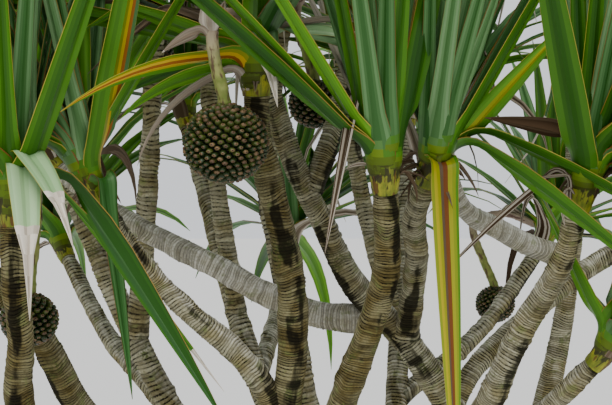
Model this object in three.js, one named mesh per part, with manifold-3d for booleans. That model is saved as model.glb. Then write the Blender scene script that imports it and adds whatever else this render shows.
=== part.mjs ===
// A pandanus tree (common screw pine): a short flared trunk, ring-scarred boughs that fork low and turn
// upwards, a head of sword-shaped leaves on the end of each bough, and round fruits hanging from some heads.
// Millimetres, +Z up. The origin is at the middle of the flat cut under the trunk. -Y is the crown's front.
import * as THREE from "three";
import { mergeVertices } from "three/addons/utils/BufferGeometryUtils.js";
import Module from "manifold-3d";

const wasm = await Module();
wasm.setup();

// Clearance between pieces that touch on the living plant.
const GAP = 0.3;

// Trunk
const TRUNK_HEIGHT = 960;
const TRUNK_LEAN = [20, -30]; // how far the fork stands off the foot, along X and Y
const TRUNK_RADIUS = { foot: 112, top: 80 };
const TRUNK_SIDES = 12;
const TRUNK_STEPS = 7;
const FLARE = { extra: 70, height: 230 }; // added to the radius at the ground, and how fast it dies away
const PROP_ROOTS = { count: 8, radius: 34, from: 330, reach: 235, inside: 0.55, knee: [0.78, 0.35] };

// Boughs
const BOUGH_SIDES = 7;
const BOUGH_STEP = 170; // length of bough for each ring of faces
const COLLAR = { extra: 0.22, length: 55 }; // a bough is thicker where it leaves its parent

// Heads of leaves. A head grows on the tip of its bough, on a short green stem.
const STEM = { length: 210, radius: 1.15, swell: 0.5, top: 0.3, sides: 6 };
const LEAVES = 12;
const LEAF = { length: 930, width: 78, thickness: 12, root: 0.3 };
const STRAIGHT = 30; // a leaf that bends by fewer degrees than this has one joint fewer
const TURN = 128; // degrees from one leaf to the next, which makes the three spiral ranks
const LEAN_YOUNG = 10; // degrees from the stem to the youngest leaf
const LEAN_OLD = 66; // and to the oldest
const BEND_YOUNG = 12; // degrees that the youngest leaf bends down over its length
const BEND_OLD = 66;
const SHORTER = [1, 0.82, 0.66, 0.5]; // lengths tried where a leaf has no room, as shares of its own
const ASIDE = [0, 12, -12, 24, -24]; // degrees that it may turn aside at each length
const LEAF_ROOM = 1.5; // clearance kept round a leaf
const STEM_ROOM = 95; // each head keeps this distance round its stem to itself
const FRONT_REACH = -1680; // no leaf's midrib comes further to the front than this

// Fruits
const FRUIT_KNOBS = 0.035; // how far the knobs stand out, as a share of the radius
const FRUIT_HEIGHT = 0.93; // a fruit is a little flattened
const STALK_RADIUS = 13;
const STALK_ARCH = { start: 0.55, out: 1.4, rise: 50 }; // it arches further out than the fruit, then hangs

// Boughs that show in the photograph, as real places. Each leaves its parent at a share of the parent's
// length, passes through its via points and ends at its tip, with its radius at the base and at the tip.
const SEEN_BOUGHS = [
  { name: "front", parent: "trunk", at: 0.96,
    via: [[-227, -450, 1240], [-224, -700, 1635], [-210, -745, 1776], [-218, -790, 1943],
      [-249, -825, 2099], [-269, -840, 2183], [-286, -855, 2238]],
    tip: [-289, -870, 2335], radius: [44, 28] },
  { name: "front_left", parent: "front", at: 0.56,
    via: [[-295, -735, 1704], [-358, -755, 1777], [-444, -785, 1853], [-540, -820, 1958]],
    tip: [-628, -860, 2095], radius: [29, 20] },
  { name: "front_mid", parent: "front", at: 0.27,
    via: [[-97, -700, 1635], [-36, -800, 1818], [-4, -870, 1950], [-3, -905, 2020]],
    tip: [-10, -950, 2124], radius: [40, 26] },
  { name: "left", parent: "trunk", at: 0.73,
    via: [[-563, -500, 1418], [-732, -570, 1617], [-798, -630, 1765], [-891, -690, 1900]],
    tip: [-1003, -800, 2106], radius: [42, 27] },
  { name: "left_upright", parent: "left", at: 0.55,
    via: [[-770, -780, 1530], [-811, -860, 1657], [-795, -935, 1800], [-797, -975, 1920]],
    tip: [-800, -1000, 2053], radius: [34, 27] },
  { name: "centre", parent: "trunk", at: 0.84,
    via: [[221, -450, 1508], [166, -500, 1607], [69, -525, 1755], [-69, -570, 1911], [-144, -605, 2061],
      [-216, -635, 2210]],
    tip: [-283, -680, 2432], radius: [46, 23] },
  { name: "centre_inner", parent: "centre", at: 0.825,
    via: [[-135, -610, 2211], [-111, -600, 2285]],
    tip: [-70, -590, 2465], radius: [26, 22] },
  { name: "front_right", parent: "centre", at: 0.602,
    via: [[72, -600, 1866], [79, -670, 1977], [67, -740, 2064]],
    tip: [91, -810, 2146], radius: [30, 26] },
  { name: "level", parent: "centre", at: 0.639,
    via: [[-53, -530, 1816], [-165, -500, 1829], [-279, -470, 1873], [-397, -450, 1937],
      [-638, -390, 2056]],
    tip: [-813, -330, 2184], radius: [34, 24] },
  { name: "right", parent: "centre", at: 0.44,
    via: [[249, -660, 1630], [314, -760, 1814], [383, -845, 1959]],
    tip: [413, -900, 2084], radius: [35, 23] },
  { name: "right_low", parent: "centre", at: 0.37,
    via: [[405, -630, 1626]],
    tip: [487, -690, 1722], radius: [30, 22] },
  { name: "right_tall", parent: "trunk", at: 0.88,
    via: [[440, 240, 1290], [594, 300, 1740]],
    tip: [640, 300, 2640], radius: [44, 22] },
  { name: "right_inner", parent: "right_tall", at: 0.655,
    via: [[488, 240, 1971], [390, 200, 2019], [265, 150, 2098]],
    tip: [205, 100, 2308], radius: [34, 25] },
  { name: "right_outer", parent: "trunk", at: 0.9,
    via: [[236, -200, 1606], [373, -170, 1755], [600, -120, 1930]],
    tip: [890, -60, 2060], radius: [34, 24] },
];

// A bough that the photograph doesn't reach, finished like the others.
const UNSEEN_BOUGHS = [
  { name: "top", parent: "trunk", at: 1,
    via: [[-170, -50, 1460], [-232, -60, 1880], [-290, -80, 2240]],
    tip: [-200, -120, 2860], radius: [50, 27] },
];

// The back of the crown: each main bough forks twice, into a low outer bough and a high inner one.
const BACK_BOUGHS = [
  { name: "back_right", heading: 80, at: 0.75 },
  { name: "back", heading: 127, at: 0.93 },
  { name: "back_left", heading: 174, at: 0.83 },
];
const BACK_MAIN = { turn: 0, reach: 950, height: 2350, radius: [43, 27] };
const BACK_LOW = { turn: -24, reach: 1080, height: 1920, at: 0.5, radius: [30, 23] };
const BACK_HIGH = { turn: 18, reach: 600, height: 2650, at: 0.62, radius: [30, 24] };
const BACK_KNEE = { run: 0.58, rise: 0.44 }; // where a back bough turns upwards, as shares of its whole

// Fruits: the head that each hangs from, how far out and how far down it hangs, and its radius.
const FRUITS = [
  { head: "front", out: [-60, -105], drop: 152, radius: 90 },
  { head: "centre_inner", out: [-110, 94], drop: 184, radius: 64 },
  { head: "left_upright", out: [0, 218], drop: 278, radius: 65 },
  { head: "back_right_low", out: [-180, 70], drop: 210, radius: 68 },
  { head: "back_high", out: [-150, -20], drop: 170, radius: 70 },
  { head: "right_outer", out: [110, -40], drop: 190, radius: 80 },
  { head: "back_left", out: [-120, 20], drop: 200, radius: 78 },
];

// The same numbers on every run.
function seeded(seed) {
  let state = seed >>> 0;
  return () => {
    state = (state + 0x6d2b79f5) >>> 0;
    let t = state;
    t = Math.imul(t ^ (t >>> 15), t | 1);
    t ^= t + Math.imul(t ^ (t >>> 7), t | 61);
    return ((t ^ (t >>> 14)) >>> 0) / 4294967296;
  };
}

const vector = (p) => new THREE.Vector3(...p);
const radians = THREE.MathUtils.degToRad;
const mix = THREE.MathUtils.lerp;

// Turns a closed geometry into a solid.
function solidOf(geometry) {
  geometry.deleteAttribute("normal");
  geometry.deleteAttribute("uv");
  const merged = mergeVertices(geometry, 1e-3);
  return new wasm.Manifold(
    new wasm.Mesh({
      numProp: 3,
      vertProperties: new Float32Array(merged.attributes.position.array),
      triVerts: new Uint32Array(merged.index.array),
    }),
  );
}

// Turns a solid back into a geometry, without the scraps that a cut may leave.
function geometryOf(solid) {
  const bodies = solid.decompose().sort((a, b) => b.volume() - a.volume());
  const mesh = bodies[0].getMesh();
  const geometry = new THREE.BufferGeometry();
  geometry.setAttribute("position", new THREE.BufferAttribute(new Float32Array(mesh.vertProperties), 3));
  geometry.setIndex(new THREE.BufferAttribute(new Uint32Array(mesh.triVerts), 1));
  geometry.computeVertexNormals();
  return geometry;
}

// Moves each vertex of an upright geometry of height 1 to place(x, share of the height, z).
function reshape(geometry, place) {
  const position = geometry.attributes.position;
  for (let i = 0; i < position.count; i++) {
    const p = place(position.getX(i), position.getY(i) + 0.5, position.getZ(i));
    position.setXYZ(i, p.x, p.y, p.z);
  }
  return geometry;
}

// A tube along a curve, closed at both ends, whose radius is a function of the share of its length.
// It can be made larger all over, by the same distance at its sides and at its ends.
function tube(curve, radiusAt, sides, steps, larger = 0) {
  const frames = curve.computeFrenetFrames(steps);
  const points = Array.from({ length: steps + 1 }, (_, row) => curve.getPointAt(row / steps));
  points[0].addScaledVector(frames.tangents[0], -larger);
  points[steps].addScaledVector(frames.tangents[steps], larger);
  return reshape(new THREE.CylinderGeometry(1, 1, 1, sides, steps), (x, share, z) => {
    const row = Math.round(share * steps);
    const radius = radiusAt(share) + larger;
    return points[row]
      .clone()
      .addScaledVector(frames.normals[row], x * radius)
      .addScaledVector(frames.binormals[row], -z * radius);
  });
}

// Trunk: a tapering column with a flare and low ridges of prop roots, cut flat at the ground.
function makeTrunk() {
  const [leanX, leanY] = TRUNK_LEAN;
  const curve = new THREE.CatmullRomCurve3([
    new THREE.Vector3(0, 0, -60),
    new THREE.Vector3(leanX * 0.1, leanY * 0.1, TRUNK_HEIGHT * 0.3),
    new THREE.Vector3(leanX * 0.7, leanY * 0.6, TRUNK_HEIGHT * 0.7),
    new THREE.Vector3(leanX, leanY, TRUNK_HEIGHT),
  ]);
  const length = curve.getLength();
  const radiusAt = (share) => {
    const column = mix(TRUNK_RADIUS.foot, TRUNK_RADIUS.top, share);
    return column + FLARE.extra * Math.exp((-share * length) / FLARE.height);
  };
  let solid = solidOf(tube(curve, radiusAt, TRUNK_SIDES, TRUNK_STEPS));
  for (let i = 0; i < PROP_ROOTS.count; i++) {
    const heading = (i / PROP_ROOTS.count) * 2 * Math.PI;
    const random = seeded(40 + i);
    const from = PROP_ROOTS.from * mix(0.6, 1, random());
    const reach = PROP_ROOTS.reach * mix(0.85, 1, random());
    const at = (out, height) => new THREE.Vector3(out * Math.cos(heading), out * Math.sin(heading), height);
    const path = new THREE.QuadraticBezierCurve3(
      at(TRUNK_RADIUS.foot * PROP_ROOTS.inside, from),
      at(reach * PROP_ROOTS.knee[0], from * PROP_ROOTS.knee[1]),
      at(reach, -50),
    );
    solid = solid.add(solidOf(tube(path, (share) => PROP_ROOTS.radius * mix(0.8, 1, share), 6, 3)));
  }
  const below = new THREE.BoxGeometry(2000, 2000, 400).translate(0, 0, -200);
  solid = solid.subtract(solidOf(below));
  return { name: "trunk", curve, length, radiusAt, solid, sides: TRUNK_SIDES, steps: TRUNK_STEPS };
}

// The boughs of the back, worked out from their headings, reaches and heights.
function backBoughs() {
  const made = [];
  for (const { name, heading, at } of BACK_BOUGHS) {
    const tipOf = ({ turn, reach, height }) => {
      const angle = radians(heading + turn);
      return new THREE.Vector3(reach * Math.cos(angle), reach * Math.sin(angle), height);
    };
    const kneeOf = (from, to) => {
      const knee = from.clone().lerp(to, BACK_KNEE.run);
      knee.z = mix(from.z, to.z, BACK_KNEE.rise);
      return knee;
    };
    const add = (bough, parent, from, rule) => {
      const tip = tipOf(rule);
      const knee = kneeOf(from, tip);
      const { at, radius } = rule;
      made.push({ name: bough, parent, at, via: [knee.toArray()], tip: tip.toArray(), radius });
      return new THREE.CatmullRomCurve3([from, knee, tip], false, "centripetal");
    };
    const foot = new THREE.Vector3(...TRUNK_LEAN, 0).setZ(TRUNK_HEIGHT * at);
    const main = add(name, "trunk", foot, { ...BACK_MAIN, at });
    add(`${name}_low`, name, main.getPointAt(BACK_LOW.at), BACK_LOW);
    add(`${name}_high`, name, main.getPointAt(BACK_HIGH.at), BACK_HIGH);
  }
  return made;
}

// One tapering bough. Its start is on the axis of its parent, and it is cut clear of its parent's surface.
function makeBough(spec, parent) {
  const route = [parent.curve.getPointAt(spec.at), ...spec.via.map(vector), vector(spec.tip)];
  const curve = new THREE.CatmullRomCurve3(route, false, "centripetal");
  const length = curve.getLength();
  const [base, tip] = spec.radius;
  const radiusAt = (share) => {
    const collar = base * COLLAR.extra * Math.exp((-share * length) / COLLAR.length);
    return mix(base, tip, share) + collar;
  };
  const steps = Math.max(3, Math.round(length / BOUGH_STEP));
  return { name: spec.name, curve, length, radiusAt, sides: BOUGH_SIDES, steps };
}

// A limb as a solid, or the space round it.
function limbSolid(limb, larger = 0) {
  return solidOf(tube(limb.curve, limb.radiusAt, limb.sides, limb.steps, larger));
}

// A bough is cut clear of its parent, and of what already stands where the two meet.
function cutBough(bough, standing) {
  let solid = limbSolid(bough);
  for (const other of standing) {
    solid = solid.subtract(other);
  }
  return geometryOf(solid);
}

// The places along a leaf, from its root: it sets out at its rise above the level and bends down to its tip.
function leafPath(leaf, segments, fine = 8) {
  const out = new THREE.Vector3(Math.cos(leaf.heading), Math.sin(leaf.heading), 0);
  const point = leaf.root.clone();
  const path = [];
  const count = segments * fine;
  for (let i = 0; i <= count; i++) {
    const rise = leaf.rise - leaf.bend * Math.pow(i / count, 1.4);
    const tangent = out.clone().multiplyScalar(Math.cos(rise));
    tangent.z = Math.sin(rise);
    if (i % fine === 0) {
      path.push({ point: point.clone(), tangent });
    }
    point.addScaledVector(tangent, leaf.length / count);
  }
  return path;
}

// A leaf blade: a long pointed prism with a keel underneath.
function leafSolid(leaf, room = 0) {
  const segments = leaf.bend < radians(STRAIGHT) ? 2 : 3;
  const path = leafPath(leaf, segments);
  const side = new THREE.Vector3(-Math.sin(leaf.heading), Math.cos(leaf.heading), 0);
  const blade = new THREE.CylinderGeometry(0, 1, 1, 3, segments);
  return solidOf(
    reshape(blade, (x, share, z) => {
      const { point, tangent } = path[Math.round(share * segments)];
      if (share > 0.999) {
        return point.clone().addScaledVector(tangent, room);
      }
      const taper = share > 0 ? 1 - Math.pow(share, 2.4) : LEAF.root;
      const width = (leaf.width * taper + room * 2) / Math.sqrt(3);
      const depth = (LEAF.thickness + room * 2) / 1.5;
      const up = new THREE.Vector3().crossVectors(tangent, side);
      const narrow = 1 - share;
      return point
        .clone()
        .addScaledVector(side, (x / narrow) * width)
        .addScaledVector(up, -(z / narrow) * depth);
    }),
  );
}

// The rule for leaf number i of a head, from the oldest to the youngest.
function leafOf(head, i, aside) {
  const share = i / (LEAVES - 1);
  const random = seeded(head.seed * 100 + i);
  const turn = radians(head.phase + i * TURN + mix(-8, 8, random()) + aside);
  const lean = radians(mix(LEAN_OLD, LEAN_YOUNG, Math.pow(share, 0.8)) + mix(-7, 7, random()));
  const radial = head.right.clone().multiplyScalar(Math.cos(turn));
  radial.addScaledVector(head.front, Math.sin(turn));
  const along = radial.clone().multiplyScalar(Math.sin(lean)).addScaledVector(head.axis, Math.cos(lean));
  const root = head.spine.getPoint(mix(0.18, 0.92, share)).addScaledVector(radial, head.radius * 0.1);
  return {
    root,
    heading: Math.atan2(along.y, along.x),
    rise: Math.asin(THREE.MathUtils.clamp(along.z, -1, 1)),
    bend: radians(mix(BEND_OLD, BEND_YOUNG, share) * mix(0.75, 1.25, random())),
    length: LEAF.length * mix(0.86, 1, random()) * mix(1, 0.72, Math.pow(share, 3)),
    width: LEAF.width * mix(0.9, 1.05, random()),
  };
}

// A head stands on the tip of its bough, and turns a little more upright than the bough.
function makeHead(bough, seed) {
  const end = bough.curve.getTangentAt(1);
  const axis = end.clone().lerp(new THREE.Vector3(0, 0, 1), 0.35).normalize();
  const foot = bough.curve.getPointAt(1).addScaledVector(end, GAP);
  const bend = foot.clone().addScaledVector(end, STEM.length * 0.35);
  const top = bend.clone().addScaledVector(axis, STEM.length * 0.65);
  const spine = new THREE.QuadraticBezierCurve3(foot, bend, top);
  const right = new THREE.Vector3(0, 1, 0).cross(axis).normalize();
  const front = new THREE.Vector3().crossVectors(axis, right);
  const radius = bough.radiusAt(1) * STEM.radius;
  return { name: bough.name, seed, phase: seed * 67 + 50, axis, spine, right, front, radius, leaves: [] };
}

// The short green stem of a head, which starts square on the cut end of its bough.
function stemSolid(head, larger = 0) {
  const radiusAt = (share) => {
    const taper = mix(1, STEM.top, share * share);
    return head.radius * (taper + STEM.swell * Math.sin(share * Math.PI));
  };
  return solidOf(tube(head.spine, radiusAt, STEM.sides, 2, larger));
}

// A fruit: a ball of knobs on a stalk that arches out of its head and hangs down.
function makeFruit(spec, head) {
  const start = head.spine.getPoint(STALK_ARCH.start);
  const [outX, outY] = spec.out;
  const place = (share, height) => start.clone().add(new THREE.Vector3(outX * share, outY * share, height));
  const curve = new THREE.CatmullRomCurve3(
    [
      place(0.1, 0),
      place(STALK_ARCH.out * 0.6, STALK_ARCH.rise),
      place(STALK_ARCH.out, STALK_ARCH.rise * 0.3),
      place(1, -spec.drop),
    ],
    false,
    "centripetal",
  );
  const centre = place(1, -spec.drop - spec.radius * FRUIT_HEIGHT * 0.86);
  const ball = new THREE.IcosahedronGeometry(1, 1);
  ball.deleteAttribute("normal");
  ball.deleteAttribute("uv");
  const round = mergeVertices(ball, 1e-3);
  const position = round.attributes.position;
  for (let i = 0; i < position.count; i++) {
    const knob = 1 + FRUIT_KNOBS * (i % 2 ? 1 : -1);
    const p = new THREE.Vector3().fromBufferAttribute(position, i).multiplyScalar(spec.radius * knob);
    position.setXYZ(i, p.x + centre.x, p.y + centre.y, p.z * FRUIT_HEIGHT + centre.z);
  }
  const stalk = solidOf(tube(curve, () => STALK_RADIUS, 5, 5));
  return { name: spec.head, centre, radius: spec.radius, curve, solid: solidOf(round).add(stalk) };
}

// Tells whether two solids share any space.
function meets(a, b) {
  const [p, q] = [a.boundingBox(), b.boundingBox()];
  const near = [0, 1, 2].every((k) => p.min[k] < q.max[k] && q.min[k] < p.max[k]);
  return near && a.intersect(b).volume() > 0;
}

// Tells whether a leaf keeps clear of the other heads, of the boughs and of the fruits.
function hasRoom(leaf, head, heads, obstacles) {
  const others = heads.filter((other) => other !== head);
  const path = leafPath(leaf, 8, 3);
  if (path.some(({ point }) => point.y < FRONT_REACH)) {
    return false;
  }
  if (others.some((other) => path.some(({ point }) => point.distanceTo(other.middle) < STEM_ROOM))) {
    return false;
  }
  const room = leafSolid(leaf, LEAF_ROOM);
  const taken = [...obstacles, ...others.flatMap((other) => [other.stem, ...other.leaves])];
  return !taken.some((solid) => meets(solid, room));
}

// Sets a leaf where it has room, turned aside or shorter if it must be, or leaves it out.
function placeLeaf(head, i, heads, obstacles) {
  for (const share of SHORTER) {
    for (const aside of ASIDE) {
      const leaf = leafOf(head, i, aside);
      leaf.length *= share;
      leaf.bend *= share;
      if (hasRoom(leaf, head, heads, obstacles)) {
        head.leaves.push(leafSolid(leaf));
        return;
      }
    }
  }
}

const bark = new THREE.MeshStandardMaterial({ color: 0x8f8672, roughness: 0.95, metalness: 0 });
const leafGreen = new THREE.MeshStandardMaterial({ color: 0x3f6f2a, roughness: 0.5, metalness: 0 });
const fruitGreen = new THREE.MeshStandardMaterial({ color: 0x3b3a22, roughness: 0.7, metalness: 0 });

function meshOf(name, geometry, material) {
  const mesh = new THREE.Mesh(geometry, material);
  mesh.name = name;
  return mesh;
}

const tree = new THREE.Group();
tree.name = "pandanus_tree";

const trunk = makeTrunk();
tree.add(meshOf("trunk", geometryOf(trunk.solid), bark));
const trunkRoom = limbSolid(trunk, GAP);

const limbs = new Map([["trunk", trunk]]);
const boughs = [];
for (const spec of [...SEEN_BOUGHS, ...UNSEEN_BOUGHS, ...backBoughs()]) {
  const bough = makeBough(spec, limbs.get(spec.parent));
  bough.around = limbSolid(bough, GAP);
  limbs.set(spec.name, bough);
  boughs.push(bough);
}
boughs.forEach((bough, index) => {
  const standing = boughs.slice(0, index).map((other) => other.around);
  tree.add(meshOf(`bough_${bough.name}`, cutBough(bough, [trunkRoom, ...standing]), bark));
});

const heads = boughs.map((bough, index) => makeHead(bough, index + 1));
for (const head of heads) {
  head.stem = stemSolid(head);
  head.middle = head.spine.getPoint(0.7);
}
const fruits = FRUITS.map((spec) => makeFruit(spec, heads.find((head) => head.name === spec.head)));

const obstacles = [trunkRoom, ...boughs.map((bough) => bough.around), ...fruits.map((fruit) => fruit.solid)];
for (let i = LEAVES - 1; i >= 0; i--) {
  for (const head of heads) {
    placeLeaf(head, i, heads, obstacles);
  }
}

for (const head of heads) {
  let solid = head.stem;
  for (const leaf of head.leaves) {
    solid = solid.add(leaf);
  }
  tree.add(meshOf(`head_${head.name}`, geometryOf(solid), leafGreen));
}

for (const fruit of fruits) {
  const head = heads.find((h) => h.name === fruit.name);
  const clear = fruit.solid.subtract(stemSolid(head, GAP));
  tree.add(meshOf(`fruit_${fruit.name}`, geometryOf(clear), fruitGreen));
}

export default tree;
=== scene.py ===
# A pandanus tree (common screw pine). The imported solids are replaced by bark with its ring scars, by heads
# of folded leaves that grow by the same rule as the solids' leaves, and by fruits built of drupes.
# Metres, +Z up, in the frame of the solids. -Y is the side that the photograph shows.
from math import acos, atan2, cos, degrees, pi, radians, sin, sqrt
from types import SimpleNamespace as Values

import bpy
import numpy as np
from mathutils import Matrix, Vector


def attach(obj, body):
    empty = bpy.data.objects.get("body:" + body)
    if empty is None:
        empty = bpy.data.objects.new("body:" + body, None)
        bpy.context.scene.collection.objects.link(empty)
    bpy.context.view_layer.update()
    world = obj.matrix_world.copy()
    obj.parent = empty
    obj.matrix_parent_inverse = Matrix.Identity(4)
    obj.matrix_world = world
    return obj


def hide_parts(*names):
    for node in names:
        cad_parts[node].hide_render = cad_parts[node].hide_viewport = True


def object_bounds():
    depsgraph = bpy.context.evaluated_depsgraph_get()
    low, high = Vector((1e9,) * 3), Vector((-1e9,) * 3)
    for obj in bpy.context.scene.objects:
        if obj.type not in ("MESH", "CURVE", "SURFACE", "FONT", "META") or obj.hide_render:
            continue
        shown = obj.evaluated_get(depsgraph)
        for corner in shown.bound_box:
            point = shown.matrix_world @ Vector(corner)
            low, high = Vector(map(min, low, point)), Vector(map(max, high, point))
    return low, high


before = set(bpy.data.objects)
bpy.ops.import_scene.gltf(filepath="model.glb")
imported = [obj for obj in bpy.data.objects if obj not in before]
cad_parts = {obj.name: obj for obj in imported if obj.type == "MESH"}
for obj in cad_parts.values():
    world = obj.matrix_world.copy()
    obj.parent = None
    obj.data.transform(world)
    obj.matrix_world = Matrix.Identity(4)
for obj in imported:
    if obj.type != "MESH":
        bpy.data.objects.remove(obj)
cad_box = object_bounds()

# Trunk
TRUNK_HEIGHT = 0.96
TRUNK_LEAN = (0.02, -0.03)  # how far the fork stands off the foot
TRUNK_RADIUS = Values(foot=0.112, top=0.08)
FLARE = Values(extra=0.07, height=0.23)
PROP_ROOTS = Values(count=8, radius=0.034, high=0.33, reach=0.235, inside=0.55, knee=(0.78, 0.35))

# Bark. Ring scars are as far apart as PITCH. A ring is a groove and a ridge: RING_ROWS has the share of the
# ring where each row of points lies, and its height in RING_DEPTHs.
PITCH = Values(seen=0.0068, unseen=0.0125, trunk=0.0095)
SIDES = Values(seen=22, unseen=14, trunk=40, root=20)
RING_ROWS = ((0.0, -1.0), (0.2, 0.5), (0.7, 0.8))
RING_DEPTH = Values(bough=0.001, smooth=0.0006, trunk=0.0014, root=0.0007)
COLLAR = Values(extra=0.22, length=0.055)  # a bough is thicker where it leaves its parent
RING_WIDTHS = (0.72, 1.28)
LEDGE = Values(spread=0.35, chance=0.08, extra=1.4)  # how much more a ring may stand out

# Ripples of the bark: waves round the limb, metres along it from one random value to the next, and size
SWAY = ((1, 2, 3, 5), 0.04, 0.003)  # metres that a ring wanders along the limb
LUMPS = ((2, 3, 4, 5), 0.05, 0.0021)  # metres outward
STRENGTH = ((1, 2, 3), 0.04, 0.4)  # of a ring's groove and ridge, as a share of their own
SWELL = (0.11, 0.028)  # metres from one random value to the next, and share of the limb's radius

# Healed buds, and rain stains where the bark faces the limb's streak, which wanders, with painted shade on
# the underside and darker ends
KNOB = Values(apart=0.22, at=(0.1, 0.95), radius=(0.008, 0.014), open=0.3, height=0.32, hole=0.004)
STREAK = Values(wander=(0.09, 0.26), ragged=((1, 2, 3), 0.06, 0.06), edge=0.82, varies=(0.06, 0.05),
                soft=0.12, strength=(0.7, 1), underside=0.7, ends=0.4)

# Heads of leaves. A head grows on the tip of its bough, on a short green stem that bends at its knee and is
# from there on more upright than the bough.
STEM = Values(length=0.21, radius=1.1, swell=0.3, top=0.3, knee=0.35, upright=0.35, sides=30, rows=26)
LEAVES = 42
LEAVES_AT = (0.26, 0.95)  # shares of the stem where the oldest and the youngest leaf leave it
TURN = 128  # degrees from one leaf to the next, which makes the three spiral ranks
LEAN_YOUNG, LEAN_OLD = 10, 66  # degrees from the stem to the youngest and to the oldest leaf
BEND_YOUNG, BEND_OLD = 12, 66  # degrees that they bend down over their length
YOUNGEST = 0.72  # length of the youngest leaf, as a share of the others'
SHORTER = (1, 0.82, 0.66, 0.5)  # lengths tried where a leaf has no room, as shares of its own
ASIDE = (0, 12, -12, 24, -24)  # degrees that it may turn aside at each length

# How a leaf by rule varies. A head whose leaves are listed has a heart of young upright leaves. Some of
# the oldest leaves are dead and hang, and a few others are folded and dry at the end. Dead strips fray at a
# head's foot, and bracts dry on a stalk. A pair is the range of a random value, or of the heart's leaves.
VARIES = Values(turn=8, lean=7, bend=(0.75, 1.25), length=(0.86, 1), width=(0.86, 1.02), twist=28)
HEART = Values(leaves=14, at=(0.4, 0.97), lean=(17, 5), bend=(2, 10), length=(0.85, 0.55),
               width=0.042, twist=0.4)
DYING = Values(leaves=3, chance=0.6, bend=(95, 130), narrower=0.5, shorter=0.7, curlier=3)
FOLDED = Values(chance=0.06, at=(0.3, 0.55), angle=(70, 110), spread=0.035, dry=0.25)
STRIP = Values(at=(0.1, 0.3), lean=(80, 165), length=(0.03, 0.13), width=0.012, brown=0.75)
BRACT = Values(at=(0.2, 0.5), lean=(50, 110), length=(0.07, 0.13), width=0.026)

# A leaf hugs its stem for its run, a few degrees off it and wrapped round it by clasp degrees, with its foot
# sunk in the stem. It turns away over its launch, opens from a channel into a blade, droops and tapers.
LEAF = Values(length=0.93, width=0.069, thick=0.0018, run=0.03, hug=3, clasp=70, wrap=0.003,
              sunk=0.007, rooted=0.02, launch=0.07, opens=0.14, droop=1.4, taper=2.1, tip=0.965)
DRIED = Values(over=0.12, narrower=0.4, curl=1.6)

# Metres kept clear round a leaf's midrib and round the stem of another head, and from one place of a limb
# that is kept clear to the next. A leaf's line is tested at so many places, from a share of its length on.
LEAF_ROOM = 0.024
STEM_ROOM = 0.07
LIMB_STEP = 0.02
PATH = Values(steps=120, places=24, start=0.12)
OUTSIDE = 0.02  # metres that a leaf's midrib may pass the solids' own box

# No leaf by rule hides what the photograph shows: it doesn't pass so many metres before it and so close
# beside it. A head with listed leaves has no others that point more than TO_CAMERA to the front, apart
# from those that leave the picture, past these slopes from the camera.
HIDES = Values(nearer=0.02, beside=0.02)
TO_CAMERA = 0.08
PICTURE = Values(top=0.145, side=0.222)

# A leaf's rows of points, in metres along its foot from inside its stem, and over the rest of it
FOOT_ROWS = Values(
    shown=(0, 0.014, 0.026, 0.036, 0.046, 0.056, 0.067, 0.079, 0.092, 0.106, 0.122, 0.14),
    other=(0, 0.014, 0.032, 0.05, 0.07, 0.1, 0.135),
)
BLADE_ROWS = Values(shown=8, other=7)

# Metres from one colour of a leaf's foot to the next. The further a leaf leaves its stem above clean_above,
# the more of these colours it has lost, up to so many at the stem's top.
FOOT = Values(step=0.0065, clean_above=0.3, lost=8)

# Fruits. Each ring of a drupe has its height over the fruit's face, as a share of the fruit's radius, and
# its half width, as a share of the room that a drupe has.
DRUPES = 420  # on a fruit of DRUPE_FRUIT's radius, and fewer on a smaller one
DRUPE_FRUIT = 0.09
DRUPE_SIDES = 6
DRUPE_RINGS = ((-0.2, 0.34), (-0.08, 0.465), (-0.02, 0.475), (0.04, 0.385), (0.075, 0.25), (0.085, 0.1))
DRUPE_TIP = 0.07
DRUPE = Values(wide=1.15, tall=0.86, spin=0.2, size=(0.94, 1.06), stand=(0.93, 0.965), nod=0.05,
               olive=0.35, tan=0.5, capped=0.3)  # and the chances of its colours
CORE = Values(size=0.86, rows=16, sides=24)
FRUIT_HEIGHT = 0.93  # a fruit is a little flattened
FRUIT_HANG = 0.86  # its stalk ends this share of its half height above its middle
STALK_RADIUS = 0.013
STALK_ROWS, STALK_SIDES = 90, 14
STALK_LUMPS = ((1, 2, 3), 0.03, 0.0012)
STALK_SCAR = Values(height=0.0016, apart=0.03)
STALK_ARCH = Values(start=0.55, out=1.4, rise=0.05)  # further out than the fruit, then it hangs

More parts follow.
